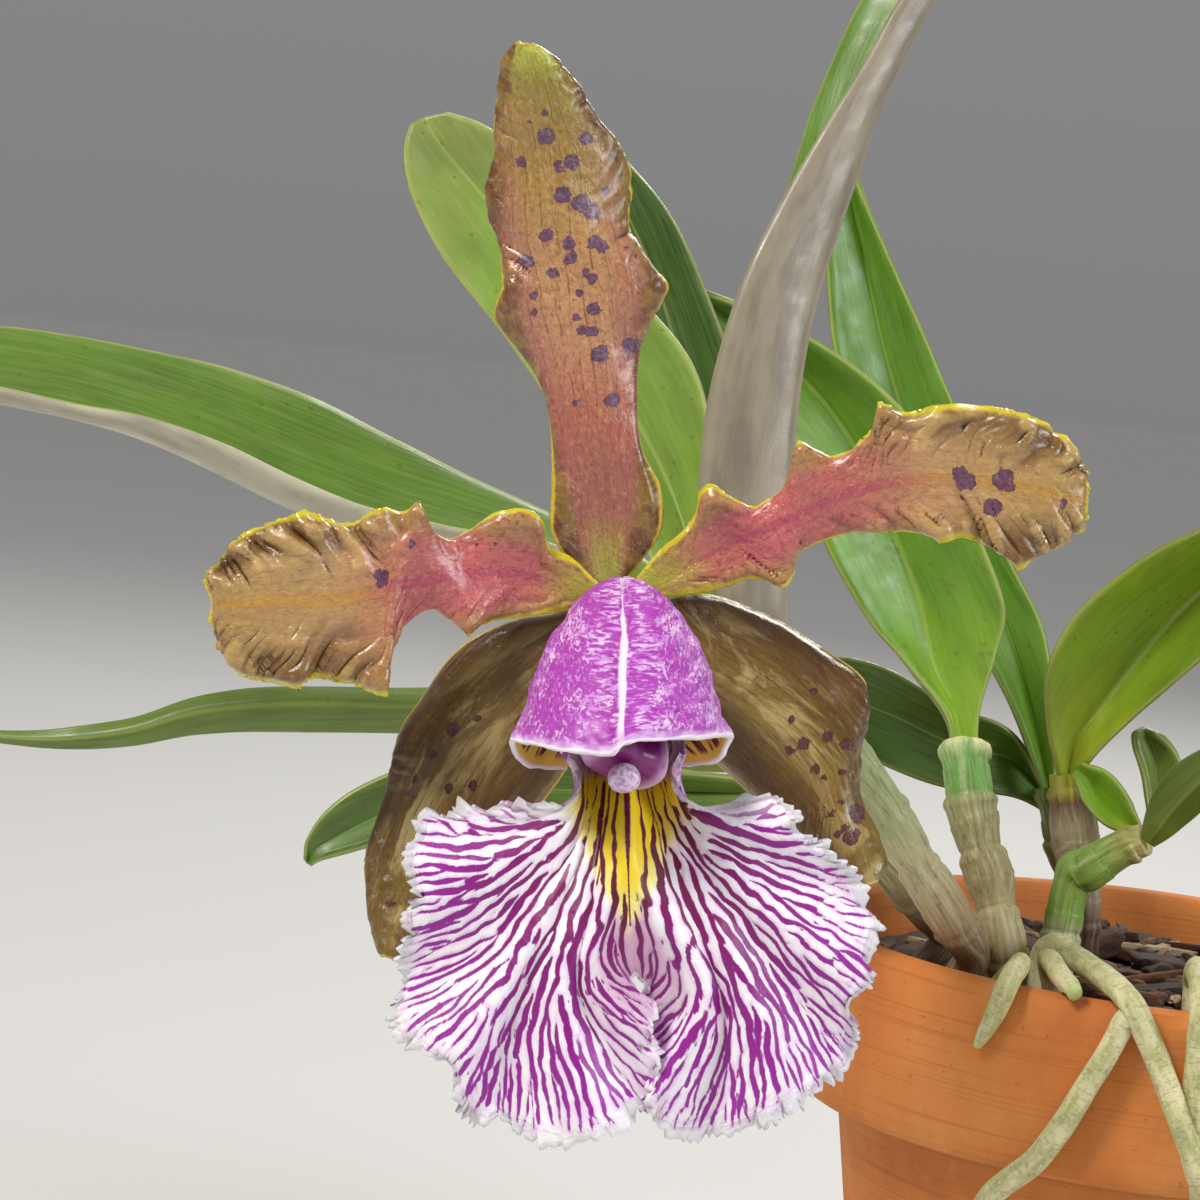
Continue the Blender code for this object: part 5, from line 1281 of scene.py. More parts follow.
def cane_paint(name, *stops):
    """A cane: colours from its foot up, streaked along, with dry fibres where it is papery."""
    p = Paint(name, 0.5, 0.05, 0.05)
    grain, s = p.place("grain"), p.layer("along")
    sway = p.swing(p.strands(grain, 0.3, 0.35, 4.0), 0.12)
    p.colour = p.stops(p.plus(s, sway), *stops)
    streak = p.strands(grain, 0.06, 1.6, 5.0, 0.65)
    p.over(p.mix(p.colour, (66, 44, 26), 0.6), p.ease(streak, 0.52, 0.68), 0.7)
    p.over(p.mix(p.colour, (240, 232, 200), 0.5), p.ease(streak, 0.48, 0.34), 0.6)
    dirt = p.ease(p.noise(grain, 0.7, 6.0, 0.7), 0.55, 0.7)
    p.over((84, 58, 40), dirt, 0.35)
    p.bumps((streak, 0.3), (p.noise(grain, 2.0, 4.0), 0.08))
    return p.wear(p.ease(streak, 0.3, 0.7, 0.45, 0.72))


def root_paint(name):
    """Root skin: cream and grey-green patches, fine cross cracks, a few dark scars."""
    p = Paint(name, 0.6, 0.0, 0.08)
    grain = p.place("grain")
    patch = p.ease(p.strands(grain, 0.35, 0.5, 5.0, 0.6), 0.36, 0.66)
    p.colour = p.mix((222, 214, 168), (176, 178, 116), patch)
    pale = p.ease(p.noise(grain, 1.6, 5.0, 0.7), 0.52, 0.68)
    p.over((226, 224, 190), pale, 0.6)
    crack = p.ease(p.noise(p.stretch(grain, 0.5, 0.5, 2.2), 1.2, 4.0, 0.6), 0.36, 0.46)
    p.colour = p.mix((128, 122, 78), p.colour, p.ease(crack, 0.0, 1.0, 0.62, 1.0))
    scar = p.ease(p.noise(grain, 0.55, 5.0, 0.7), 0.66, 0.74)
    p.over((84, 74, 46), scar, 0.7)
    p.over(ROOT_TIP, p.ease(p.layer("along"), 0.95, 1.0))
    p.bumps((p.strands(grain, 0.4, 0.8, 4.0), 0.35), (crack, 0.05), (p.noise(grain, 3.0, 3.0), 0.06))
    return p.wear(p.ease(pale, 0.0, 1.0, 0.58, 0.8))


def clay_paint():
    """Unglazed clay: warm orange, faint throwing lines, clouded with pale salts and darker damp, with painted
    shade under the rim.
    """
    p = Paint("terracotta", 0.8)
    spot = p.space()
    cloud = p.strands(spot, 0.6, 0.035, 5.0, 0.6)
    p.colour = p.stops(
        cloud, (0.3, (192, 106, 46)), (0.48, (216, 130, 60)), (0.62, (226, 146, 78)), (0.8, (232, 162, 106)),
    )
    lines = p.noise(p.stretch(spot, 0.02, 0.02, 1.6), 1.0, 4.0, 0.6)
    p.over((168, 84, 42), p.ease(lines, 0.52, 0.7), 0.35)
    salt = p.ease(p.noise(spot, 0.09, 6.0, 0.7), 0.58, 0.76)
    p.over((226, 190, 156), salt, 0.45)
    speck = p.ease(p.noise(spot, 1.1, 3.0, 0.6), 0.66, 0.74)
    p.over((120, 58, 30), speck, 0.5)
    # Painted shade: a dark band on the wall just under the rim's ledge.
    under_rim_shade = p.times(p.ease(p.part(spot, 2), 65.2, 67.6), p.ease(p.part(spot, 2), 68.6, 68.0))
    p.over((92, 40, 20), under_rim_shade, 0.55)
    p.bumps((lines, 0.12), (p.noise(spot, 0.9, 5.0, 0.65), 0.12), (p.noise(spot, 4.0, 2.0), 0.04))
    return p.wear(p.ease(cloud, 0.3, 0.7, 0.72, 0.9))


def bark_paint():
    """Bark and twigs: dark to pale by their tone, layered, with dust on them."""
    p = Paint("bark", 0.85)
    spot, tone = p.space(), p.layer("tone")
    p.colour = p.stops(
        tone, (0.0, (44, 25, 13)), (0.35, (72, 41, 20)), (0.7, (112, 66, 34)), (0.88, (150, 104, 62)),
        (1.0, (200, 178, 138)),
    )
    layers = p.noise(p.stretch(spot, 0.5, 0.5, 1.6), 0.6, 6.0, 0.7)
    p.over((24, 15, 10), p.ease(layers, 0.5, 0.66), 0.75)
    dust = p.ease(p.noise(spot, 1.3, 5.0, 0.7), 0.58, 0.74)
    p.over((160, 112, 66), dust, 0.35)
    p.bumps((layers, 0.8), (p.noise(spot, 1.8, 5.0, 0.7), 0.3))
    return p.wear(p.ease(dust, 0.0, 1.0, 0.72, 0.95))


def rhizome_paint():
    """Rhizome: brown, with dry scales."""
    p = Paint("rhizome", 0.75)
    grain = p.place("grain")
    scale = p.noise(p.stretch(grain, 0.5, 0.5, 1.4), 0.6, 5.0, 0.65)
    p.colour = p.stops(scale, (0.3, (70, 44, 26)), (0.5, (118, 80, 48)), (0.66, (156, 116, 74)))
    p.bumps((scale, 0.6), (p.noise(grain, 1.8, 4.0), 0.15))
    return p.wear(p.ease(scale, 0.3, 0.7, 0.65, 0.88))


def blade_columns(count):
    """Even places across a blade, closer together at its margins."""
    even = np.linspace(-1, 1, count)
    return 0.5 + 0.5 * (0.75 * even + 0.25 * np.sin(even * math.pi / 2))


def edge_gap(across, along):
    """How far each grid point is from the blade's margin, in millimetres."""
    half = np.abs(across[:, -1:])
    return np.minimum(half - np.abs(across), along[-1:] - along)


def crumple(v, across, along, s, seed, margin):
    """Folds of a petal or sepal, from -1 to 1: sharp wrinkles out to the margin and towards the tip."""
    out = smooth(np.abs(v), 0.02, 0.8) * (0.3 + 0.7 * smooth(s, 0.42, 0.66))
    skew = along - np.abs(across) * 0.75 + 1.2 * lattice(across / 4.0, along / 4.0, seed + 4)
    broad = 1 - 2.6 * np.abs(lattice(skew / 2.5, np.sign(v) * 9 + np.abs(v) * 1.5, seed))
    fine = 1 - 2.6 * np.abs(lattice(skew / 1.1, np.sign(v) * 5 + np.abs(v) * 3.0, seed + 1))
    return margin * out * (0.55 * broad + 0.45 * fine)


def straightened(grid, across):
    """Places across a blade measured from a midline that ignores the waves of its margins, and the same as
    shares of its even half width."""
    middle = grid[:, grid.shape[1] // 2]
    way = unit(grid[:, -1] - grid[:, 0])
    half = np.abs(across[:, -1])
    even_middle, even_half = evened(middle), evened(half[:, None])[:, 0]
    across = across + ((middle - even_middle) * way).sum(1)[:, None]
    return across, across / np.maximum(even_half, 0.4)[:, None]


def evened(values):
    """The same rows with their waves taken out, and the ends kept."""
    k = np.linspace(-1, 1, 2 * EVEN_ROWS + 1)
    weight = (1 - k ** 2) ** 2
    low, high = 2 * values[0] - values[EVEN_ROWS:0:-1], 2 * values[-1] - values[-2:-EVEN_ROWS - 2:-1]
    padded = np.concatenate([low, values, high])
    weight = weight / weight.sum()
    return np.stack([np.convolve(column, weight, "valid") for column in padded.T], -1)


def bloom_blade(name, stations, spots, paint, slot, seed, curl, margin):
    """A sepal or petal: its grid, crumpled and curled at the rim, with its layers."""
    stations = np.array(stations, float)
    left, right = stations[:, :3], stations[:, 3:6]
    middle = (left + right) / 2
    middle[:, 2] = stations[:, 6]
    lines = curve(in_bloom(np.stack([left, right, middle], 1)), BLADE_ROWS)
    places = blade_columns(BLADE_COLUMNS)
    grid = cross(lines[:, :2], lines[:, 2], places)
    v = np.broadcast_to(places * 2 - 1, grid.shape[:2])
    across, along = flat_of(grid)
    s = along / along[-1, 0]
    facing = facing_of(grid, BLADE_ROWS // 2, BLADE_COLUMNS // 2)
    ends = smooth(s, 0.0, 0.12)
    fold = crumple(v, across, along, s, seed, margin)
    dimples = lattice(across / 2.6, along / 4.5, seed + 2)
    dimples += 0.5 * lattice(across / 1.2, along / 2.4, seed + 3)
    lift = (FOLD_HEIGHT * fold + DIMPLE_HEIGHT * dimples) * ends
    uneven = 1 + 0.8 * lattice(along / 6.0, np.sign(v) * 3, seed + 5)
    lift -= curl * smooth(np.abs(v), 0.8, 1.0) ** 1.5 * ends * uneven
    grid = grid + plain_normals(grid) * (lift * facing)[..., None]
    edge = edge_gap(across, along)
    depth = PETAL_THICK * (0.42 + 0.58 * smooth(edge, 0.0, 1.6))
    points, faces = closed_sheet(grid, depth)
    across, v = straightened(grid, across)
    flat = flat_places(across, along)
    spot = spots_at(grid, spots)
    return make_piece(
        name + "_skin", points, faces, paint, name, slot, flat=both(flat), along=both(s), across=both(v),
        edge=both(edge), spot=both(spot), fold=both(fold), side=sides_of(grid, turn=facing),
    )


def hood():
    """The lip's side lobes, rolled over the column, with the raised seam and the frilled hem."""
    rows = curve(np.array(HOOD_ROWS, float), HOOD_FINE_ROWS)
    part = np.linspace(-1, 1, HOOD_FINE_COLUMNS)
    grid = np.zeros((len(rows), len(part), 3))
    turns = np.zeros(grid.shape[:2])
    for i, (centre, y, half, side, rise) in enumerate(rows):
        reach = i / (len(rows) - 1)
        wrap = HOOD_WRAP_START + (1 - HOOD_WRAP_START) * smooth(reach, 0.0, HOOD_WRAP_FULL)
        turn = part * HOOD_WRAP * wrap
        under = np.abs(turn) > math.pi / 2
        height = np.where(under, HOOD_UNDER * reach, rise) * np.cos(turn)
        sway = HOOD_SEAM_SWAY * math.sin(HOOD_SEAM_TURNS * reach + 0.6)
        beside = turn - sway
        seam = HOOD_SEAM * np.exp(-(beside / HOOD_SEAM_FINE) ** 2)
        lap = HOOD_LAP * smooth(beside, -0.02, 0.03) * smooth(beside, 0.8, 0.1) * smooth(reach, 0.3, 0.8)
        hem = smooth(reach, HOOD_HEM_FROM, 1.0)
        frill = lattice(turn * 3.2, turn * 0 + 3.0, SEED) + 0.35 * lattice(turn * 9.0, turn * 0, SEED + 1)
        corner = np.exp(-((np.abs(turn) - HOOD_TIP_TURN) / HOOD_TIP_WIDTH) ** 2)
        grid[i, :, 0] = centre + half * np.sin(turn) + HOOD_TIP * hem * corner * np.sign(turn)
        grid[i, :, 1] = y + np.interp(turn, *zip(*HOOD_HEM)) * reach ** 6 + hem * frill * 1.2
        grid[i, :, 2] = side + height + seam + lap + hem * (0.5 * frill + 0.5 * np.cos(turn))
        turns[i] = turn
    grid = in_bloom(grid)
    across, along = flat_of(grid)
    across -= across[:, len(part) // 2:len(part) // 2 + 1]
    dimple = 0.16 * lattice(across / 2.2, along / 2.0, SEED + 3)
    dimple += 0.1 * lattice(across / 0.9, along / 1.0, SEED + 4)
    facing = facing_of(grid, len(rows) // 2, len(part) // 2)
    grid += plain_normals(grid) * (dimple * smooth(along, 0, 5.0))[..., None]
    points, faces = closed_sheet(grid, np.full(grid.shape[:2], LIP_THICK * 0.8))
    flat = flat_places(across, along)
    return make_piece(
        "lip_hood_skin", points, faces, hood_paint(), "lip_hood", "hood", flat=both(flat),
        across=both(turns / HOOD_WRAP), edge=both(along[-1:] - along), side=sides_of(grid, turn=facing),
    )


def through(at, keys, values):
    """A smooth curve through values at uneven keys, read at each of at."""
    slopes = np.gradient(values, keys, axis=0)
    i = np.clip(np.searchsorted(keys, at, "right") - 1, 0, len(keys) - 2)
    width = (keys[i + 1] - keys[i])[:, None]
    t = (at - keys[i])[:, None] / width
    return (
        (1 + 2 * t) * (1 - t) ** 2 * values[i] + t * (1 - t) ** 2 * width * slopes[i]
        + t * t * (3 - 2 * t) * values[i + 1] + t * t * (t - 1) * width * slopes[i + 1]
    )


def fan_half(number, margin, rays, neck, count):
    """The rays of one half of the fan at each number, from the middle outwards, as sheet points."""
    steps = FAN_MARGIN_STEPS * FAN_RAYS
    ends = curve(margin, steps + 1)[np.round((number / FAN_RAYS) ** FAN_CROWD * steps).astype(int)]
    keys = np.array([row[0] for row in rays], float)
    inner = through(number, keys, np.array([np.concatenate(row[1:]) for row in rays], float))
    bends = [np.vstack([neck[i, :2], inner[i].reshape(3, 2), ends[i]]) for i in range(len(number))]
    return np.array([curve(bend, count) for bend in bends])


def neck_at(number):
    """Points of the fan's neck for ray numbers from -FAN_RAYS on the left to FAN_RAYS on the right."""
    line = curve(np.array(FAN_NECK, float), 2 * FAN_NECK_STEPS * FAN_RAYS + 1)
    return line[np.round((number / FAN_RAYS + 1) * FAN_NECK_STEPS * FAN_RAYS).astype(int)]


def even_numbers(margin, rays, sign):
    """Ray numbers that stand evenly apart well out on the blade."""
    number = np.linspace(0, FAN_RAYS, FAN_TRIAL_RAYS)
    lines = fan_half(number, margin, rays, neck_at(number * sign), FAN_EVEN_ROWS)
    row = lines[:, FAN_EVEN_ROW]
    reach = run_of(row)
    return np.interp(np.linspace(0, reach[-1], FAN_HALF_COLUMNS), reach, number)


class Vein:
    """One vein as it grows: the ray number it is at, how far it has come, and what is its own."""

    def __init__(self, column, length, rng):
        self.column = column
        self.born = self.length = length
        self.lean = rng.random() * VEIN_LEAN
        self.stout = rng.uniform(*VEIN_STOUT)
        self.stop = rng.uniform(*VEIN_MARGIN)
        self.room = None


def at_stage(values, s):
    """One of the vein sizes: at the neck, out on the blade or near the margin."""
    start, full, end = values
    spread, narrow = float(smooth(s, *VEIN_SPREAD)), float(smooth(s, *VEIN_NARROW))
    return start + (full - start) * spread + (end - full) * narrow


def read_between(row, column):
    """A row's value between two of its columns."""
    low = min(int(column), len(row) - 2)
    return row[low] * (1 - column + low) + row[low + 1] * (column - low)


def room_across(rows):
    """How far each ray of each row lies from the first, measured square to the rays."""
    way = unit(np.gradient(rows, axis=0))
    gap, way = np.diff(rows, axis=1), (way[:, 1:] + way[:, :-1]) / 2
    clear = np.abs(gap[..., 0] * way[..., 1] - gap[..., 1] * way[..., 0]) + 1e-4
    return np.concatenate([np.zeros((len(rows), 1)), np.cumsum(clear, axis=1)], 1)


def grow_veins(lines, seed):
    """Veins of one half of the fan, grown from the neck out, as (x, y, half width) marks. Each keeps away
    from its neighbours; in a wide gap a new one forks off or starts free, and in a narrow one a vein ends."""
    rng = random.Random(seed)
    rows = lines.transpose(1, 0, 2)
    reach = room_across(rows)
    steps = np.linalg.norm(np.diff(rows, axis=0), axis=2)
    ahead = np.concatenate([np.cumsum(steps[::-1], axis=0)[::-1], np.zeros((1, steps.shape[1]))])
    numbers = np.arange(rows.shape[1])
    first = int(VEIN_START * len(rows))
    places = np.arange(VEIN_SPACING[0] * 0.7, reach[first, -1], VEIN_SPACING[0])
    live = [Vein(float(np.interp(place, reach[first], numbers)), 0.0, rng) for place in places]
    marks = []
    for i in range(first, len(rows) - 1):
        s = i / len(rows)
        spacing, full = at_stage(VEIN_SPACING, s), at_stage(VEIN_HALF_WIDTH, s)
        live.sort(key=lambda vein: vein.column)
        bounds = np.interp([vein.column for vein in live], numbers, reach[i])
        bounds = np.concatenate([[-spacing * 0.3], bounds, [reach[i, -1] + spacing * 0.2]])
        for k, vein in enumerate(live):
            step = float(read_between(steps[i], min(vein.column, steps.shape[1] - 1.001)))
            sway = noise_at(vein.length / VEIN_WAVE, vein.lean) * VEIN_WANDER
            room = (bounds[k + 2] - bounds[k]) / 2
            vein.room = room if vein.room is None else vein.room + (room - vein.room) * 0.2
            crowd = min(1.0, vein.room / spacing)
            pull = ((bounds[k] + bounds[k + 2]) / 2 - bounds[k + 1]) * min(0.5, step / VEIN_EASE)
            place = bounds[k + 1] + pull + sway * step * crowd
            vein.column = float(np.interp(place, reach[i], numbers))
            vein.length += step
            left = float(read_between(ahead[i], vein.column))
            grown = min(1.0, 0.2 + (vein.length - vein.born) / VEIN_TAPER)
            waning = min(1.0, max(0.0, left - vein.stop) / VEIN_TAPER)
            pulse = 1 + VEIN_PULSE * noise_at(vein.length / VEIN_PULSE_WAVE, vein.lean + 7)
            half = full * vein.stout * crowd * grown ** 0.7 * waning ** 0.5 * pulse
            if left > vein.stop:
                marks.append((*read_between(rows[i], vein.column), max(half, VEIN_THINNEST)))
        live = next_veins(live, reach[i], numbers, spacing, rng)
    return marks


def next_veins(live, reach, numbers, spacing, rng):
    """The veins that go on, and the new ones that start in gaps that have grown wide."""
    kept, born = live[:1], []
    for vein, place in ((live[0], spacing * 0.5), (live[-1], reach[-1] - spacing * 0.5)):
        room = abs(float(np.interp(vein.column, numbers, reach)) - place)
        if room > spacing * 1.2:
            born.append(Vein(float(np.interp(place, reach, numbers)), vein.length, rng))
    for vein in live[1:]:
        low, high = np.interp([kept[-1].column, vein.column], numbers, reach)
        gap = high - low
        if gap < spacing * VEIN_END and rng.random() < 0.08 + 0.3 * (gap < spacing * VEIN_END_SOON):
            continue
        if gap > spacing * rng.uniform(*VEIN_BIRTH):
            beside = spacing * VEIN_BESIDE
            parent, place = (kept[-1], low + beside) if rng.random() < 0.5 else (vein, high - beside)
            if rng.random() > VEIN_FORKS:
                place = low + gap * 0.5
            new = Vein(float(np.interp(place, reach, numbers)), parent.length, rng)
            new.room = gap / 2
            born.append(new)
        kept.append(vein)
    return kept + born


def dashes(lines, seed):
    """Short loose strokes near the ends of the veins."""
    rng = random.Random(seed)
    for _ in range(VEIN_DASHES):
        ray = lines[rng.randrange(DASH_FIRST, len(lines) - DASH_LAST)]
        at = rng.uniform(*DASH_AT)
        length = rng.uniform(*DASH_LENGTH)
        half = rng.uniform(*DASH_HALF_WIDTH)
        for t in np.linspace(0, 1, DASH_MARKS):
            k = (at + length * t) * (len(ray) - 1)
            low = int(k)
            spot = ray[low] * (1 - k + low) + ray[low + 1] * (k - low)
            yield (*spot, half * math.sin(math.pi * (0.15 + 0.7 * t)))


def vein_layer(places, marks):
    """How far inside a vein each sheet point lies, in millimetres."""
    tree = kdtree.KDTree(len(marks))
    for k, (x, y, _) in enumerate(marks):
        tree.insert((x, y, 0), k)
    tree.balance()
    values = np.empty(len(places))
    for k, (x, y) in enumerate(places):
        values[k] = max(marks[found][2] - gap for _, found, gap in tree.find_n((x, y, 0), VEIN_NEAREST))
    return values * BLOOM_DEPTH / FOCAL


def fan_height(number, s, root):
    """How far the fan's rays stand out, for arrays of ray numbers and of s, from 0 (neck) to 1 (margin)."""
    where = np.abs(number) / FAN_RAYS
    crest = FAN_CREST * (1 - FAN_CREST_FADE * where ** 2)
    rise = crest * np.sin(0.5 * math.pi * np.minimum(s * FAN_CREST_SOON, 1.0)) - FAN_DROOP * s ** 2
    ruffle = FAN_RUFFLE * smooth(s, 0.3, 1.0) * smooth(where, 0.1, 0.3) * np.sin(number * FAN_RUFFLE_TURN)
    lap = FAN_LAP * smooth(s, 0.7, 1.0) * smooth(where, 0.02, 0.12) * np.exp(-(where / FAN_LAP_WIDTH) ** 2)
    wall = FAN_WALL * smooth(where, 0.7, 1.0) * np.exp(-((s - FAN_WALL_AT) / FAN_WALL_WIDTH) ** 2)
    return root + rise + ruffle + wall - np.sign(number) * lap


def teeth(run, size, spacing, seed):
    """Sharp uneven teeth along a margin, for places run along it: spikes, then now and then a deep notch."""
    rng = random.Random(seed)
    keys, values, at = [], [], float(run[0])
    while at < run[-1] + spacing * 4:
        notch = rng.random() < FRINGE_NOTCHES
        keys += [at, at + spacing * rng.uniform(0.25, 0.8)]
        dip = rng.uniform(0.8, 1.5) if notch else 0.3 * rng.random()
        values += [-size * dip, size * rng.uniform(0.1, 1.0) ** 1.3]
        at += spacing * rng.uniform(0.5, 2.3)
    return np.interp(run, keys, values)


def fringe(lines):
    """The fan's ragged margin: moves the last stretch of each ray in or out, square to the margin."""
    ends = lines[:, -1]
    run = run_of(ends)
    tangent = np.stack([np.interp(run, run, np.gradient(ends[:, k], run)) for k in (0, 1)], -1)
    for _ in range(FRINGE_EASING):
        tangent[1:-1] = (tangent[:-2] + 2 * tangent[1:-1] + tangent[2:]) / 4
    tangent = unit(tangent)
    out = np.stack([-tangent[:, 1], tangent[:, 0]], -1)
    inward = lines[:, -FRINGE_ROWS] - ends
    out *= -np.sign((out * inward).sum(1, keepdims=True) + 1e-9)
    lobe = FRINGE_LOBE[0] * lattice(run / FRINGE_LOBE[1], run * 0 + 2.5, SEED + 8)
    tooth = teeth(run, *FRINGE_TOOTH, SEED + 9) * (0.75 + 0.35 * lattice(run / 30.0, run * 0, SEED + 10))
    away = smooth(np.hypot(ends[:, 0] - CLEFT_TOP[0], ends[:, 1] - CLEFT_TOP[1]), *FRINGE_CLEFT)
    steps = np.linalg.norm(np.diff(lines, axis=1), axis=2)
    left = np.concatenate([np.cumsum(steps[:, ::-1], axis=1)[:, ::-1], np.zeros((len(lines), 1))], 1)
    move = (lobe + tooth - 2.0) * (0.2 + 0.8 * away)
    share = smooth(left, FRINGE_REACH, 0.0)
    height, wave, inner = FRINGE_FRILL
    frill = (lattice(run / wave, run * 0 + 7.5, SEED + 11) * height)[:, None] * smooth(left, inner, 0.0)
    return lines + out[:, None] * (move[:, None] * share)[..., None], frill, left


def fan():
    """The lip's middle lobe: veined rays from the neck to the fringed margin, with the cleft below."""
    halves, marks = [], []
    for sign, margin, rays in ((-1, FAN_MARGIN_LEFT, FAN_RAYS_LEFT), (1, FAN_MARGIN_RIGHT, FAN_RAYS_RIGHT)):
        number = even_numbers(margin, rays, sign)
        halves.append((number * sign, fan_half(number, margin, rays, neck_at(number * sign), FAN_FINE_ROWS)))
        coarse = np.linspace(0, FAN_RAYS, VEIN_NUMBERS + 1)
        lines = fan_half(coarse, margin, rays, neck_at(coarse * sign), VEIN_STEPS + 1)
        marks += list(grow_veins(lines, SEED + 20 + sign)) + list(dashes(lines, SEED + 30 + sign))
    start, end = (int(share * VEIN_STEPS) for share in MIDDLE_VEIN)
    marks += [(x, y, MIDDLE_VEIN_WIDTH) for x, y in lines[0][start:end]]
    number = np.concatenate([halves[0][0][::-1], halves[1][0][1:]])
    lines = np.concatenate([halves[0][1][::-1], halves[1][1][1:]])
    lines, frill, left = fringe(lines)
    level, half_height, flare_width = THROAT_FLARE
    flare = np.exp(-((lines[..., 1] - level) / half_height) ** 2)
    outer = smooth(np.abs(number) / FAN_RAYS, 0.2, 1.0) * np.sign(number)
    lines[..., 0] += flare_width * flare * outer[:, None]
    s = np.linspace(0, 1, FAN_FINE_ROWS)[:, None] * np.ones(len(number))
    height = fan_height(number[None], s, neck_at(number)[:, 2][None]) + frill.T
    sheet_places = lines.transpose(1, 0, 2)
    grid = in_bloom(np.concatenate([sheet_places, height[..., None]], -1))
    across, along = flat_of(grid)
    wide, least, at_neck = FAN_SIDE_EDGE
    beside = (FAN_RAYS - np.abs(number))[None] / FAN_RAYS * wide + least
    edge = np.minimum(left.T, beside + at_neck * smooth(s, 0.5, 0.0)) * BLOOM_DEPTH / FOCAL
    vein = vein_layer(sheet_places.reshape(-1, 2), marks).reshape(s.shape)
    x, y, half_x, half_y = NECK_GOLD
    sideways = np.abs(sheet_places[..., 0] - x) / half_x
    down = np.maximum(sheet_places[..., 1] - y, 0) / half_y
    gold = 1 - (sideways ** NECK_GOLD_POWER + down ** NECK_GOLD_POWER) ** (1 / NECK_GOLD_POWER)
    throat = smooth(sheet_places[..., 1], y - THROAT_FADE[0], y - THROAT_FADE[1])
    facing = facing_of(grid, FAN_FINE_ROWS // 2, len(number) // 3)
    depth = LIP_THICK * (0.45 + 0.55 * smooth(edge, 0.0, 1.2))
    points, faces = closed_sheet(grid, depth, FAN_BACK_SKIP)
    ray = np.abs(number)[None] / FAN_RAYS * np.ones_like(s)
    layers = {
        "flat": flat_places(across, along), "along": s, "ray": ray, "edge": edge, "vein": vein, "gold": gold,
        "throat": throat,
    }
    layers = {key: both(values, FAN_BACK_SKIP) for key, values in layers.items()}
    return make_piece(
        "lip_fan_skin", points, faces, fan_paint(), "lip_fan", "lip", **layers,
        side=sides_of(grid, FAN_BACK_SKIP, facing),
    )


def column_shape(along, turn):
    """The column widens into wings beside its tip."""
    return 1 + 0.75 * smooth(along, 8.0, 17.0) * np.abs(np.cos(turn)) ** 1.5


def bloom():
    """The sepals and petals, the two lobes of the lip, and the column with its cap."""
    bloom_blade("sepal_upper", SEPAL_UPPER, SPOTS_UPPER, sepal_paint(), "sepal", UPPER_SEED, *UPPER_RELIEF)
    for name, (stations, spots, inner, seed) in LOWER_SEPALS.items():
        bloom_blade(name, stations, spots, lateral_paint(name, inner), "sepal", seed, *LOWER_RELIEF)
    for name, (stations, spots, rose_end, seed) in PETALS.items():
        bloom_blade(name, stations, spots, petal_paint(name, rose_end), "petal", seed, *PETAL_RELIEF)
    hood()
    fan()
    for name, spine, paint, slot, shape in (
        ("column", COLUMN, column_paint(), "column", column_shape),
        ("anther_cap", ANTHER_CAP, cap_paint(), "cap", None),
    ):
        drawn_spine = [(tuple(in_bloom(place)), radius) for place, radius in spine]
        tube(name + "_skin", drawn_spine, *COLUMN_FINE, paint, name, slot, shape)


# Colours of each leaf: base, middle and tip, its back, and how brown it is blotched.
LEAF_LOOKS = {
    "leaf_mauve": ((138, 148, 70), (96, 138, 34), (88, 136, 30), (152, 141, 120), 0.0),
    "leaf_long": ((112, 138, 44), (88, 122, 26), (96, 130, 26), (190, 184, 160), 0.0),
    "leaf_pale": ((120, 150, 54), (128, 160, 58), (146, 160, 80), (168, 166, 120), 0.1),
    "leaf_shade": ((70, 102, 28), (56, 90, 22), (54, 86, 22), (112, 128, 70), 0.0),
    "leaf_low": ((122, 140, 54), (96, 122, 34), (106, 128, 42), (180, 180, 130), 0.1),
    "leaf_small": ((104, 130, 44), (78, 110, 28), (86, 118, 34), (142, 150, 90), 0.1),
    "leaf_mottled": ((140, 176, 44), (104, 152, 28), (92, 120, 44), (136, 150, 82), 0.55),
    "leaf_broad": ((174, 188, 34), (130, 164, 18), (116, 154, 20), (146, 160, 66), 0.05),
    "leaf_back": ((104, 148, 24), (92, 140, 18), (86, 132, 20), (122, 146, 62), 0.0),
    "leaf_level": ((78, 116, 20), (72, 108, 16), (68, 104, 18), (112, 134, 56), 0.0),
    "leaf_bright": ((164, 182, 32), (124, 166, 20), (118, 158, 24), (144, 160, 66), 0.0),
    "leaf_olive": ((120, 136, 44), (96, 120, 38), (92, 114, 36), (124, 136, 74), 0.2),
    "leaf_bud": ((126, 142, 48), (104, 126, 42), (108, 130, 50), (136, 148, 78), 0.1),
}


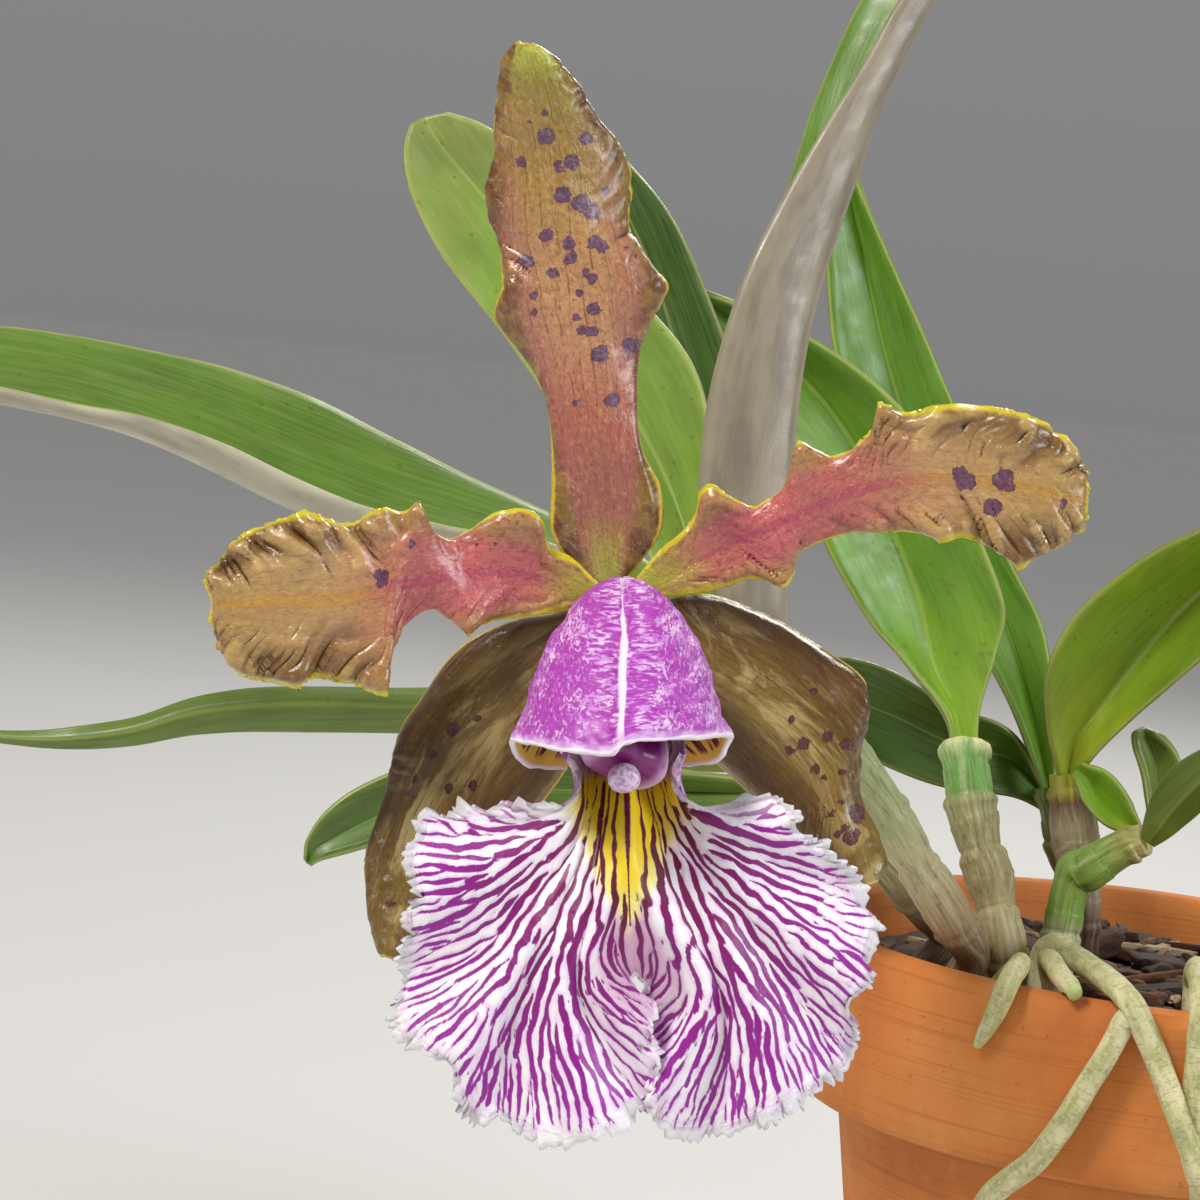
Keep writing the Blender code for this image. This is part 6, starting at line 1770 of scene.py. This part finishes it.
def leaf(name, stations, slot, keel, seed):
    """A leathery leaf with a gently waved blade and rounded edges."""
    lines = curve(seen(stations), LEAF_ROWS)
    places = blade_columns(LEAF_FINE_COLUMNS + 1)
    grid = cross(lines[:, [0, 2]], lines[:, 1], places, keel)
    across, along = flat_of(grid)
    s = along / along[-1, 0]
    v = np.broadcast_to(places * 2 - 1, grid.shape[:2])
    height, wide_wave, long_wave = LEAF_WAVE
    lift = height * lattice(across / wide_wave, along / long_wave, seed)
    lift = lift * smooth(s, 0.05, 0.25) * smooth(s, 1.0, 0.9)
    frill = LEAF_FRILL[0] * np.abs(v) ** 3 * lattice(along / LEAF_FRILL[1], np.sign(v) * 4, seed + 1)
    lift += frill * smooth(s, 0.1, 0.3)
    grid = grid + plain_normals(grid) * lift[..., None]
    wide = np.linalg.norm(grid[:, -1] - grid[:, 0], axis=1)[:, None]
    depth = np.clip(NARROW_END * wide, THINNEST, LEAF_THICK)
    depth = depth * (0.35 + 0.65 * smooth(1 - np.abs(v), 0.0, 0.12))
    points, faces = closed_sheet(grid, depth)
    flat = flat_places(across, along)
    facing = facing_of(grid, LEAF_ROWS // 2, LEAF_FINE_COLUMNS * 3 // 4)
    paint = leaf_paint(name, *LEAF_LOOKS[name])
    return make_piece(
        name + "_skin", points, faces, paint, name, slot, flat=both(flat), along=both(s), across=both(v),
        side=sides_of(grid, turn=facing),
    )


def drawn(spine):
    """A drawn spine as one in space."""
    return [(tuple(seen(place)), radius) for place, radius in spine]


# Colours of each cane from its foot up, and where its joints are.
CANE_LOOKS = {
    "cane_flower": [
        (0.0, (110, 84, 60)), (0.2, (178, 154, 118)), (0.38, (188, 182, 140)), (0.5, (166, 172, 124)),
        (0.75, (150, 164, 108)), (1.0, (140, 160, 92)),
    ],
    "cane_left": [
        (0.0, (104, 80, 58)), (0.3, (160, 146, 112)), (0.6, (136, 148, 92)), (1.0, (124, 146, 74)),
    ],
    "cane_front": [
        (0.0, (120, 92, 66)), (0.12, (196, 184, 138)), (0.3, (190, 176, 128)), (0.5, (160, 148, 102)),
        (0.78, (156, 154, 104)), (0.84, (106, 156, 70)), (0.95, (122, 166, 84)), (1.0, (214, 216, 160)),
    ],
    "cane_sheathed": [
        (0.0, (74, 50, 42)), (0.2, (100, 70, 58)), (0.45, (176, 160, 130)), (0.72, (186, 168, 138)),
        (0.86, (140, 108, 84)), (0.93, (196, 186, 60)), (1.0, (204, 204, 60)),
    ],
    "cane_young": [
        (0.0, (192, 192, 150)), (0.2, (206, 204, 164)), (0.35, (132, 168, 66)), (0.75, (140, 172, 70)),
        (0.9, (190, 192, 106)), (1.0, (206, 200, 130)),
    ],
    "cane_back": [(0.0, (94, 80, 52)), (0.5, (128, 134, 72)), (1.0, (116, 142, 56))],
}
CANE_JOINTS = {
    "cane_flower": (0.16, 0.34, 0.5, 0.72, 0.96), "cane_left": (0.3, 0.62, 0.94),
    "cane_front": (0.14, 0.32, 0.56, 0.78, 0.97), "cane_sheathed": (0.22, 0.5, 0.9),
    "cane_young": (0.22, 0.58, 0.92), "cane_back": (0.3, 0.66, 0.95),
}


def cane(name):
    """A cane with ringed joints and thin dry sheaths that end above each joint."""
    spine = [(CANE_FEET[name], CANES[name][0][1])] + drawn(CANES[name])
    length = sum(np.linalg.norm(np.subtract(b[0], a[0])) for a, b in zip(spine, spine[1:]))

    def shape(along, turn):
        s = along / length
        scale = 1 + CANE_LUMPS * lattice(turn * 3, turn * 0 + along / 2.5, SEED)
        scale += CANE_FURROW * np.sin(turn * CANE_FURROWS + 0.3 * along)
        for joint in CANE_JOINTS[name]:
            above = (s - joint) * length
            scale += JOINT_RING * math.exp(-(above / 0.9) ** 2)
            scale -= JOINT_GROOVE * math.exp(-(above / 0.5 - 2.4) ** 2)
            wander = SHEATH_RAGGED * lattice(turn * 2.2, turn * 0 + joint * 40, SEED + 3)
            ragged = joint + SHEATH_REACH + wander
            scale += SHEATH_EDGE * smooth(ragged - s, 0.0, 0.004) * smooth(s - joint, 0.0, 0.02)
        return scale

    paint = cane_paint(name, *CANE_LOOKS[name])
    tube(name + "_skin", spine, *CANE_FINE, paint, name, "cane", shape)


def resting(x, y, radius, off):
    """The point under a drawn one where a root rests: on the bark, the rim, or its outside."""
    ray = seen((x, y, 1.0)) - VIEWER
    reach = RIM_OUTER + GAP + radius + off
    level = POT_HEIGHT + GAP + radius + off
    top = VIEWER + ray * (level - VIEWER[2]) / ray[2]
    if math.hypot(top[0], top[1]) < RIM_OUTER:
        return top
    a = ray[0] ** 2 + ray[1] ** 2
    b = VIEWER[0] * ray[0] + VIEWER[1] * ray[1]
    c = VIEWER[0] ** 2 + VIEWER[1] ** 2 - reach ** 2
    return VIEWER + ray * (-b - math.sqrt(b * b - a * c)) / a


def over_rim(spine):
    """The root's smooth path, lifted clear of the rim."""
    data = curve([(*place, radius) for place, radius in spine], ROOT_PATH_STEPS)
    for row in data:
        clear = row[3] + GAP
        out = math.hypot(row[0], row[1])
        if out < RIM_INNER - clear or out > RIM_OUTER + clear or row[2] > POT_HEIGHT + clear:
            continue
        if POT_HEIGHT + clear - row[2] < RIM_OUTER + clear - out:
            row[2] = POT_HEIGHT + clear
        else:
            row[:2] *= (RIM_OUTER + clear) / out
    return [(tuple(row[:3]), row[3]) for row in data]


def root_spine(points):
    """A root's spine in space: points in space stay, drawn ones are laid on what is under them."""
    return over_rim([point if len(point) == 2 else (tuple(resting(*point)), point[2]) for point in points])


def root_shape(along, turn):
    """Slightly flattened and lumpy."""
    lumps = lattice(turn * 1.3, turn * 0 + along / 3.5, SEED + 2)
    return 1 + 0.05 * np.cos(2 * turn + along * 0.03) + 0.05 * lumps


def round_pieces():
    """Canes, roots, rhizome and flower stem."""
    for name in CANES:
        cane(name)
    for name, points in ROOTS.items():
        node = None if name == "root_b" else name
        tube(name + "_skin", root_spine(points), *ROOT_FINE, root_paint(name), node, "root", root_shape)

    def scaly(along, turn):
        lumps = lattice(turn * 2, turn * 0 + along / 1.6, SEED + 6)
        return 1 + 0.07 * (1 - (along / 4.2) % 1.0) + 0.06 * lumps

    tube("rhizome_skin", RHIZOME, *RHIZOME_FINE, rhizome_paint(), "rhizome", "rhizome", scaly)

    def ribbed(_, turn):
        return 1 + 0.05 * np.cos(turn * 6)

    stem = cane_paint("flower_stem", (0.0, (150, 162, 84)), (0.5, (150, 166, 80)), (1.0, (176, 176, 92)))
    tube("flower_stem_skin", drawn(FLOWER_STEM), *STEM_FINE, stem, "flower_stem", "stem", ribbed)


def pot():
    """The clay pot, turned finely from the same profile, with its drain holes."""
    profile = []
    for (r0, z0), (r1, z1) in zip(POT_PROFILE, POT_PROFILE[1:]):
        count = max(2, int(math.hypot(r1 - r0, z1 - z0) / POT_STEP))
        shares = np.linspace(0, 1, count, endpoint=False)
        profile += [(r0 + (r1 - r0) * t, z0 + (z1 - z0) * t) for t in shares]
    profile = np.array(profile + POT_PROFILE[-1:])
    turn = around(POT_FINE_SIDES)
    wobble = POT_WAVER * lattice(turn[None] * 2.2, profile[:, 1:] / 16, SEED + 12)
    wobble = wobble * smooth(np.abs(turn[None] - math.pi), math.pi, math.pi - 0.4)
    radius = profile[:, :1] + wobble
    points = np.stack([radius * np.cos(turn), radius * np.sin(turn), profile[:, 1:] + 0 * radius], -1)
    f = np.arange(radius.size).reshape(radius.shape)
    faces = [ring_faces(f), f[:1, ::-1], f[-1:]]
    made = make_piece("pot_skin", points.reshape(-1, 3), faces, clay_paint(), "pot", "terracotta")
    for k in range(DRAIN_COUNT):
        turn = 2 * math.pi * (k + DRAIN_TURN) / DRAIN_COUNT
        bpy.ops.mesh.primitive_cylinder_add(
            vertices=DRAIN_FINE_SIDES, radius=DRAIN_RADIUS * MM, depth=(DRAIN_TOP - DRAIN_BOTTOM) * MM,
            location=(DRAIN_CIRCLE * math.cos(turn) * MM, DRAIN_CIRCLE * math.sin(turn) * MM,
                      (DRAIN_TOP + DRAIN_BOTTOM) / 2 * MM),
        )
        drill = bpy.context.object
        cut = made.modifiers.new("drain", "BOOLEAN")
        cut.object, cut.operation, cut.solver = drill, "DIFFERENCE", "EXACT"
        with bpy.context.temp_override(object=made, active_object=made):
            bpy.ops.object.modifier_apply(modifier=cut.name)
        bpy.data.objects.remove(drill)
    made.data.set_sharp_from_angle(angle=POT_SHARP)


def rough_chip(rng, centre, size, spin, tip):
    """An irregular piece of bark: a rounded block with broken faces, as points and faces."""
    points, faces, index = [], [], {}
    lean = np.array([rng.uniform(-CHIP_LEAN, CHIP_LEAN) for _ in range(3)])
    seed = rng.randrange(10 ** 6)

    def corner(p):
        key = tuple(np.round(p, 4))
        if key not in index:
            index[key] = len(points)
            round_p = p / max(1.0, (np.abs(p) ** 5).sum() ** 0.2)
            bump = noise_at(p[0] * 2.1 + p[2], p[1] * 2.3 - p[2] * 1.7, seed)
            fine = noise_at(p[0] * 5 + p[2] * 2, p[1] * 5 + p[2] * 3, seed + 1)
            swell = 1 + CHIP_BUMPS[0] * bump + CHIP_BUMPS[1] * fine
            points.append((round_p + lean * round_p[2]) * swell * size)
        return index[key]

    grid = np.linspace(-1, 1, CHIP_STEPS)
    spans = list(zip(grid, grid[1:]))
    for axis in range(3):
        for sign in (-1.0, 1.0):
            for (u0, u1), (v0, v1) in itertools.product(spans, spans):
                quad = [(u0, v0), (u1, v0), (u1, v1), (u0, v1)]
                if sign < 0:
                    quad = quad[::-1]
                faces.append([corner(np.roll(np.array([sign, *uv]), axis)) for uv in quad])
    tilt = np.array([[math.cos(tip), 0, math.sin(tip)], [0, 1, 0], [-math.sin(tip), 0, math.cos(tip)]])
    yaw = np.array([[math.cos(spin), -math.sin(spin), 0], [math.sin(spin), math.cos(spin), 0], [0, 0, 1]])
    return np.array(points) @ tilt.T @ yaw.T + centre, np.array(faces)


def scatter(rng, count, reach, rise, half_sizes, tip):
    """Loose pieces strewn over the medium, as (centre, half sizes, spin, tip)."""
    pieces = []
    for _ in range(count):
        out = reach * math.sqrt(rng.random())
        turn = rng.uniform(0, 2 * math.pi)
        centre = np.array([out * math.cos(turn), out * math.sin(turn), BARK_TOP + rng.uniform(*rise)])
        size = np.array([rng.uniform(*sizes) for sizes in half_sizes])
        pieces.append((centre, size, rng.uniform(0, math.pi), rng.uniform(-tip, tip)))
    return pieces


def main_chips(rng):
    """The chips that the solid has too, in the same places."""
    pieces = []
    for index in range(CHIP_COUNT):
        out = CHIP_REACH * math.sqrt((index + 0.6) / CHIP_COUNT)
        turn = index * GOLDEN_ANGLE + rng.uniform(-CHIP_STRAY, CHIP_STRAY)
        centre = np.array([out * math.cos(turn), out * math.sin(turn), BARK_TOP + rng.uniform(*CHIP_RISE)])
        size = np.array([rng.uniform(*sizes) for sizes in CHIP_HALF_SIZES])
        for _ in range(CHIP_DRAWS):
            rng.uniform(*CHIP_CORNER)
        pieces.append((centre, size * CHIP_SHARE, rng.uniform(0, math.pi), rng.uniform(-CHIP_TIP, CHIP_TIP)))
    return pieces


def crumb_floor():
    """The dark floor under the chips, as rings of points from its foot up and in to the middle."""
    turn = around(FLOOR_SIDES)
    radius = np.linspace(*FLOOR_RADII, FLOOR_RINGS)[:, None]
    x, y = radius * np.cos(turn), radius * np.sin(turn)
    level = FLOOR_LEVEL + 0.9 * lattice(x / 2.4, y / 2.4, SEED + 13)
    level += 0.5 * lattice(x, y, SEED + 14)
    low = np.array(FLOOR_WALL)[:, None]
    wall = np.stack([low[..., 0] * np.cos(turn), low[..., 0] * np.sin(turn), low[..., 1] + 0 * turn], -1)
    return np.concatenate([wall, np.stack([x, y, level], -1)])


def bark():
    """The medium: a dark floor of crumbs, the main chips where the solid has them, small ones and twigs."""
    rng = random.Random(SEED)
    pieces = main_chips(rng)
    for kind in CRUMBS:
        pieces += scatter(rng, *kind)
    points, faces, tones, start = [], [], [], 0
    for piece in pieces:
        made, quads = rough_chip(rng, *piece)
        points.append(made)
        faces.append(quads + start)
        usual = TWIG_TONE if piece[1][1] < TWIG_WIDTH[1] else CHIP_TONE
        tones += [min(1.0, max(0.0, rng.gauss(usual, TONE_STRAY)))] * len(made)
        start += len(made)
    core = crumb_floor()
    f = start + np.arange(len(core) * FLOOR_SIDES).reshape(-1, FLOOR_SIDES)
    faces += [ring_faces(f), f[:1, ::-1], f[-1:]]
    points.append(core.reshape(-1, 3))
    tones += [FLOOR_TONE] * f.size
    points = np.concatenate(points)
    make_piece("bark_skin", points, faces, bark_paint(), "bark", "bark", tone=np.array(tones))


def camera():
    """The camera, where the photo was taken from."""
    data = bpy.data.cameras.new("camera")
    data.sensor_width = FILM
    data.lens = FOCAL / SHEET_SIZE * FILM
    data.clip_start, data.clip_end = CLIP
    made = bpy.data.objects.new("camera", data)
    turn = Matrix((RIGHT, UP, -FORWARD)).transposed()
    made.matrix_world = Matrix.Translation(Vector(VIEWER * MM)) @ turn.to_4x4()
    bpy.context.scene.collection.objects.link(made)
    bpy.context.scene.camera = made


# Studio lights: place in metres, width, power, colour.
LIGHTS = {
    "key": ((-0.75, -0.65, 1.1), 0.35, 13.5, (255, 251, 245)),
    "fill": ((0.95, -0.6, 0.6), 0.5, 7.0, (246, 249, 255)),
    "back": ((0.3, 0.9, 0.9), 0.6, 7.0, (255, 252, 246)),
}
SKY_STRENGTH = (0.225, 0.4)
SKY_COLOUR = (252, 252, 252)
FLOOR_HALF = 80.0
AIM = (-0.06, -0.07, 0.14)


def studio():
    """A plain pale floor and soft light."""
    mesh = bpy.data.meshes.new("floor")
    corners = [(x * FLOOR_HALF, y * FLOOR_HALF, 0) for x, y in ((-1, -1), (1, -1), (1, 1), (-1, 1))]
    mesh.from_pydata(corners, [], [range(4)])
    floor = bpy.data.objects.new("floor", mesh)
    bpy.context.scene.collection.objects.link(floor)
    p = Paint("floor", 0.7)
    p.colour = p.mix((211, 210, 208), (214, 213, 211), p.noise(p.space(), 0.004, 3.0))
    mesh.materials.append(p.wear())
    for name, (place, width, power, colour) in LIGHTS.items():
        data = bpy.data.lights.new(name, "AREA")
        data.shape = "DISK"
        data.size, data.energy, data.color = width, power, linear(colour)[:3]
        made = bpy.data.objects.new(name, data)
        made.location = place
        made.rotation_euler = (Vector(AIM) - Vector(place)).to_track_quat("-Z", "Y").to_euler()
        bpy.context.scene.collection.objects.link(made)
    world = bpy.data.worlds.new("studio")
    world.use_nodes = True
    nodes, links = world.node_tree.nodes, world.node_tree.links
    sky = nodes["Background"]
    sky.inputs["Color"].default_value = linear(SKY_COLOUR)
    height = nodes.new("ShaderNodeSeparateXYZ")
    links.new(nodes.new("ShaderNodeTexCoord").outputs["Generated"], height.inputs[0])
    climb = nodes.new("ShaderNodeMapRange")
    climb.inputs["To Min"].default_value, climb.inputs["To Max"].default_value = SKY_STRENGTH
    links.new(height.outputs["Z"], climb.inputs["Value"])
    links.new(climb.outputs["Result"], sky.inputs["Strength"])
    bpy.context.scene.world = world
    bpy.context.scene.view_settings.view_transform = "Standard"


def main():
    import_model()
    camera()
    studio()
    pot()
    bark()
    round_pieces()
    for name, shape in LEAVES.items():
        leaf(name, *shape)
    bloom()


main()
